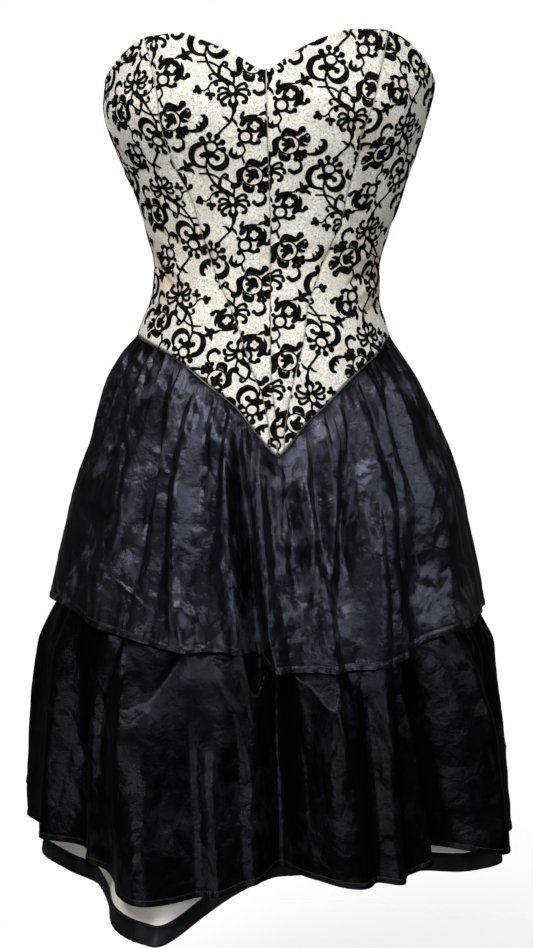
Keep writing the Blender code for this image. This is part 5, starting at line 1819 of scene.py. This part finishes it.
def grains_along(name, lines, pitch, size, unevenness, tree, finish, slot):
    """One plain mesh of grains at an even pitch along lines of points.

    Pitch and size, which is across, out and along, are in millimetres.
    """
    mesh = bpy.data.meshes.new(name)
    starts = np.cumsum([0] + [len(line) for line in lines])
    edges = [
        np.stack((np.arange(len(line) - 1), np.arange(1, len(line))), 1) + start
        for line, start in zip(lines, starts)
    ]
    mesh.from_pydata(np.concatenate(lines).tolist(), np.concatenate(edges).tolist(), [])
    guide = new_object(name + "_guide", mesh)
    modifier = guide.modifiers.new("grains", "NODES")
    modifier.node_group = tree
    settings = {
        "Pitch": pitch * MM, "Size": [length * MM / 2 for length in size], "Unevenness": unevenness,
        "Seed": 7, "Finish": finish,
    }
    for item in tree.interface.items_tree:
        if item.name in settings:
            modifier[item.identifier] = settings[item.name]
    evaluated = guide.evaluated_get(bpy.context.evaluated_depsgraph_get())
    grains = bpy.data.meshes.new_from_object(evaluated)
    bpy.data.objects.remove(guide)
    piece = new_object(name, grains)
    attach(piece, "dress")


def top_stitches(panel):
    """The stitching below a panel's top edge."""
    across = np.linspace(0, 1, LINE_POINTS)
    height = np.full(LINE_POINTS, FIRST_TOP)
    for _ in range(SETTLE_STEPS):
        first, last = panel_ends(panel, height)
        azimuth = first + (last - first) * across
        height = round_table(azimuth, TOP_EDGE, "height") - TOP_STITCH_DOWN
    return points(azimuth, bodice_cloth(panel, azimuth, height) + THREAD_OUT, height)


def hem_stitches(levels, deep, cloth, start, end):
    """The stitching above a hem, at deep above its edge."""
    azimuth = np.linspace(start + HEM_LINE_ENDS, end - HEM_LINE_ENDS, HEM_LINE_POINTS * int(end - start))
    height = levels(azimuth)[-1] + deep
    return points(azimuth, cloth(azimuth, height, start, end) + THREAD_OUT, height)


def back_face(height):
    """How far back the inside of the closed centre back lies, down the bodice and the skirt."""
    seam = round_table(180.0, WAIST_SEAM, "height")
    bodice = inside(bodice_radius, 180.0, np.maximum(height, seam), BODICE_WALL)
    skirt = inside(upper_radius, 180.0, np.minimum(height, seam), SATIN_WALL)
    below = np.minimum(skirt, inside(bodice_radius, 180.0, height, BODICE_WALL))
    return np.where(height > seam, bodice, below)


def teeth_line(side):
    """Half of the zip's teeth, which start half a pitch lower than the other half."""
    below_top = (TEETH_BELOW_TOP - side * TEETH_PITCH / 4) * MM
    top = round_table(180.0, TOP_EDGE, "height") - ZIP_BELOW_EDGE - below_top
    height = np.linspace(top, ZIP_BOTTOM + TEETH_ABOVE_BOTTOM, LINE_POINTS)
    behind = back_face(height) + CHAIN_THICK - SEAM_GAP
    return np.stack((np.full(LINE_POINTS, side * TEETH_ASIDE), behind, height), -1)


def make_trims():
    """Stitching and zip teeth, and finishes for the zip's own parts."""
    tree = grain_tree()
    cream = trim_finish("cream_thread", CREAM_THREAD, 0.7, 0.0, 900, 0.0002)
    black = trim_finish("black_thread", BLACK_THREAD, 0.36, 0.0, 900, 0.0002)
    nylon = trim_finish("black_nylon_teeth", NYLON_BLACK, 0.4, 0.0, 500, 0.0001)
    tape = trim_finish("black_zip_tape", TAPE_BLACK, 0.85, 0.0, 1400, 0.0003)
    metal = trim_finish("dark_zip_metal", METAL_DARK, 0.34, 0.9, 260, 0.0001)
    finishes = {"zip_tape": tape, "zip_chain": nylon, "zip_slider": metal, "zip_pull": metal}
    for node, finish in finishes.items():
        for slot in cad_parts[node].material_slots:
            slot.material = finish
    tops = [top_stitches(panel) for panel in PANELS]
    cream_stitches = TOP_STITCH_PITCH, TOP_STITCH_SIZE, STITCH_UNEVENNESS, tree, cream
    black_stitches = HEM_STITCH_PITCH, HEM_STITCH_SIZE, STITCH_UNEVENNESS, tree, black
    grains_along("stitches_top_edge", tops, *cream_stitches, "flocked_cotton")
    front, back, back_right, back_left = (-90, 90), (90, 270), (90, 180), (180, 270)
    for name, layer, deep, spans, slot in (
        ("upper_hem", UPPER, UPPER_HEM_DEEP, (front, back_right, back_left), "upper_satin"),
        ("lower_hem", LOWER, LOWER_HEM_DEEP, (front, back), "lower_satin"),
        ("band_top", BAND, BAND_DEEP - BAND_STITCH_DOWN, (front, back), "band_satin"),
    ):
        lines = [hem_stitches(layer.levels, deep, layer.cloth, *span) for span in spans]
        grains_along(f"stitches_{name}", lines, *black_stitches, slot)
    teeth = [teeth_line(side) for side in (-1, 1)]
    grains_along("zip_teeth", teeth, TEETH_PITCH, TOOTH_SIZE, 0.0, tree, nylon, "black_nylon")


# Camera, floor and lights


def aim(thing, at, looks_at):
    """Puts a camera or a lamp at a place, turned to another."""
    thing.location = at
    thing.rotation_euler = (Vector(looks_at) - Vector(at)).to_track_quat("-Z", "Y").to_euler()


def camera_and_light():
    """The camera of the photograph, the softboxes, and a white sky that lights only a little."""
    camera = new_object("camera", bpy.data.cameras.new("camera"))
    camera.data.lens = CAMERA_LENS
    aim(camera, CAMERA_AT, CAMERA_LOOKS_AT)
    bpy.context.scene.camera = camera
    for softbox in SOFTBOXES:
        lamp = bpy.data.lights.new(softbox.name, "AREA")
        lamp.shape = "DISK"
        lamp.size = softbox.size
        lamp.energy = softbox.power
        lamp.color = softbox.colour
        aim(new_object(softbox.name, lamp), softbox.at, softbox.looks_at)
    world = bpy.data.worlds.new("studio")
    world.use_nodes = True
    tree = world.node_tree
    add = adder(tree)
    seen = add("ShaderNodeLightPath").outputs["Is Camera Ray"]
    strength = spanned(add, seen, 0.0, 1.0, SKY_LIGHT, SKY_SEEN)
    feed(tree, tree.nodes["Background"], {"Color": (*SKY_WHITE, 1), "Strength": strength})
    bpy.context.scene.world = world
    bpy.context.scene.view_settings.view_transform = "Standard"


def studio_floor():
    """A plain pale floor that fades into the white around it."""
    made, add, shade, place_at = new_material("pale_floor")
    speckle = noise(add, place_at, 6.0, 2.0)
    away = add("ShaderNodeVectorMath", {"operation": "LENGTH"}, i0=place_at).outputs["Value"]
    shade(
        Base_Color=ramp_of(add, speckle, ((0.3, FLOOR_SHADE), (0.7, FLOOR_PALE))),
        Roughness=0.9, Alpha=spanned(add, away, *FLOOR_FADES, 1.0, 0.0),
    )
    angle = np.linspace(0, 2 * np.pi, FLOOR_SIDES + 1)[None, :]
    reach = np.linspace(MM, FLOOR_REACH, FLOOR_RINGS + 1)[:, None]
    grid = np.stack(np.broadcast_arrays(reach * np.cos(angle), reach * np.sin(angle), FLOOR_HEIGHT), -1)
    numbers = np.arange(grid[..., 0].size).reshape(grid.shape[:2])
    floor = make_mesh("studio_floor", grid.reshape(-1, 3), (quads(numbers),), made)
    floor.visible_glossy = False


# The skirt: the levels, solid form, cloth and thickness of each layer
Layer = namedtuple("Layer", "levels radius cloth thickness")
UPPER = Layer(upper_levels, upper_radius, upper_cloth, SATIN_SHELL)
LOWER = Layer(lower_levels, lower_radius, lower_cloth, SATIN_SHELL)
PETTICOAT = Layer(petticoat_levels, petticoat_radius, petticoat_cloth, PETTICOAT_SHELL)
BAND = Layer(band_levels, petticoat_radius, band_cloth, BAND_SHELL)


def make_upper_tier(satin):
    """The upper tier's front and two backs."""
    rows, front_columns, back_columns = UPPER_GRID
    for side, span, columns in (
        ("front", (-90, 90), front_columns),
        ("back_right", (90, 180), back_columns),
        ("back_left", (180, 270), back_columns),
    ):
        names = f"satin_upper_{side}", f"upper_skirt_{side}"
        piece, cut = tier_piece(*names, span, columns, spread((0, 1, rows)), UPPER, satin)


def make_lower_tier(side, span, columns, satin):
    """The front or back of the lower tier, with finer rows where it shows."""
    names = f"satin_lower_{side}", f"lower_skirt_{side}"
    downs = spread((0, 1, LOWER_HIDDEN_ROWS), (1, 2, LOWER_GRID[0] - LOWER_HIDDEN_ROWS))
    piece, cut = tier_piece(*names, span, columns, downs, LOWER, satin)


def make_petticoat(side, span, lining, satin):
    """The front or back of the petticoat, with its band."""
    rows, columns = PETTICOAT_GRID
    under_upper, under_lower = PETTICOAT_HIDDEN_ROWS
    downs = spread((0, 1, under_upper), (1, 2, under_lower), (2, 3, rows - under_upper - under_lower))
    names = f"lining_petticoat_{side}", f"petticoat_{side}"
    petticoat, cut = tier_piece(*names, span, columns, downs, PETTICOAT, lining)
    rows, columns = BAND_GRID
    names = f"satin_band_{side}", f"petticoat_band_{side}"
    piece, cut = tier_piece(*names, span, columns, spread((0, 1, rows)), BAND, satin)


def make_skirt():
    """Every layer of the skirt, from the outermost in."""
    upper, lower, band = (satin_finish(satin) for satin in SATINS)
    lining = lining_finish()
    make_upper_tier(upper)
    for side, span, columns in (("front", (-90, 90), LOWER_GRID[1]), ("back", (90, 270), LOWER_GRID[2])):
        make_lower_tier(side, span, columns, lower)
        make_petticoat(side, span, lining, band)


UNDER_UPPER = reach_map(upper_radius, upper_levels, SATIN_WALL)
UNDER_LOWER = reach_map(lower_radius, lower_levels, SATIN_WALL)
camera_and_light()
studio_floor()
make_trims()
make_skirt()
cotton, flock, shapes = cotton_finish(), flock_finish(), drawn_shapes()
border = repeat_border(shapes)
for panel in PANELS:
    make_panel(panel, cotton, border, shapes, flock)
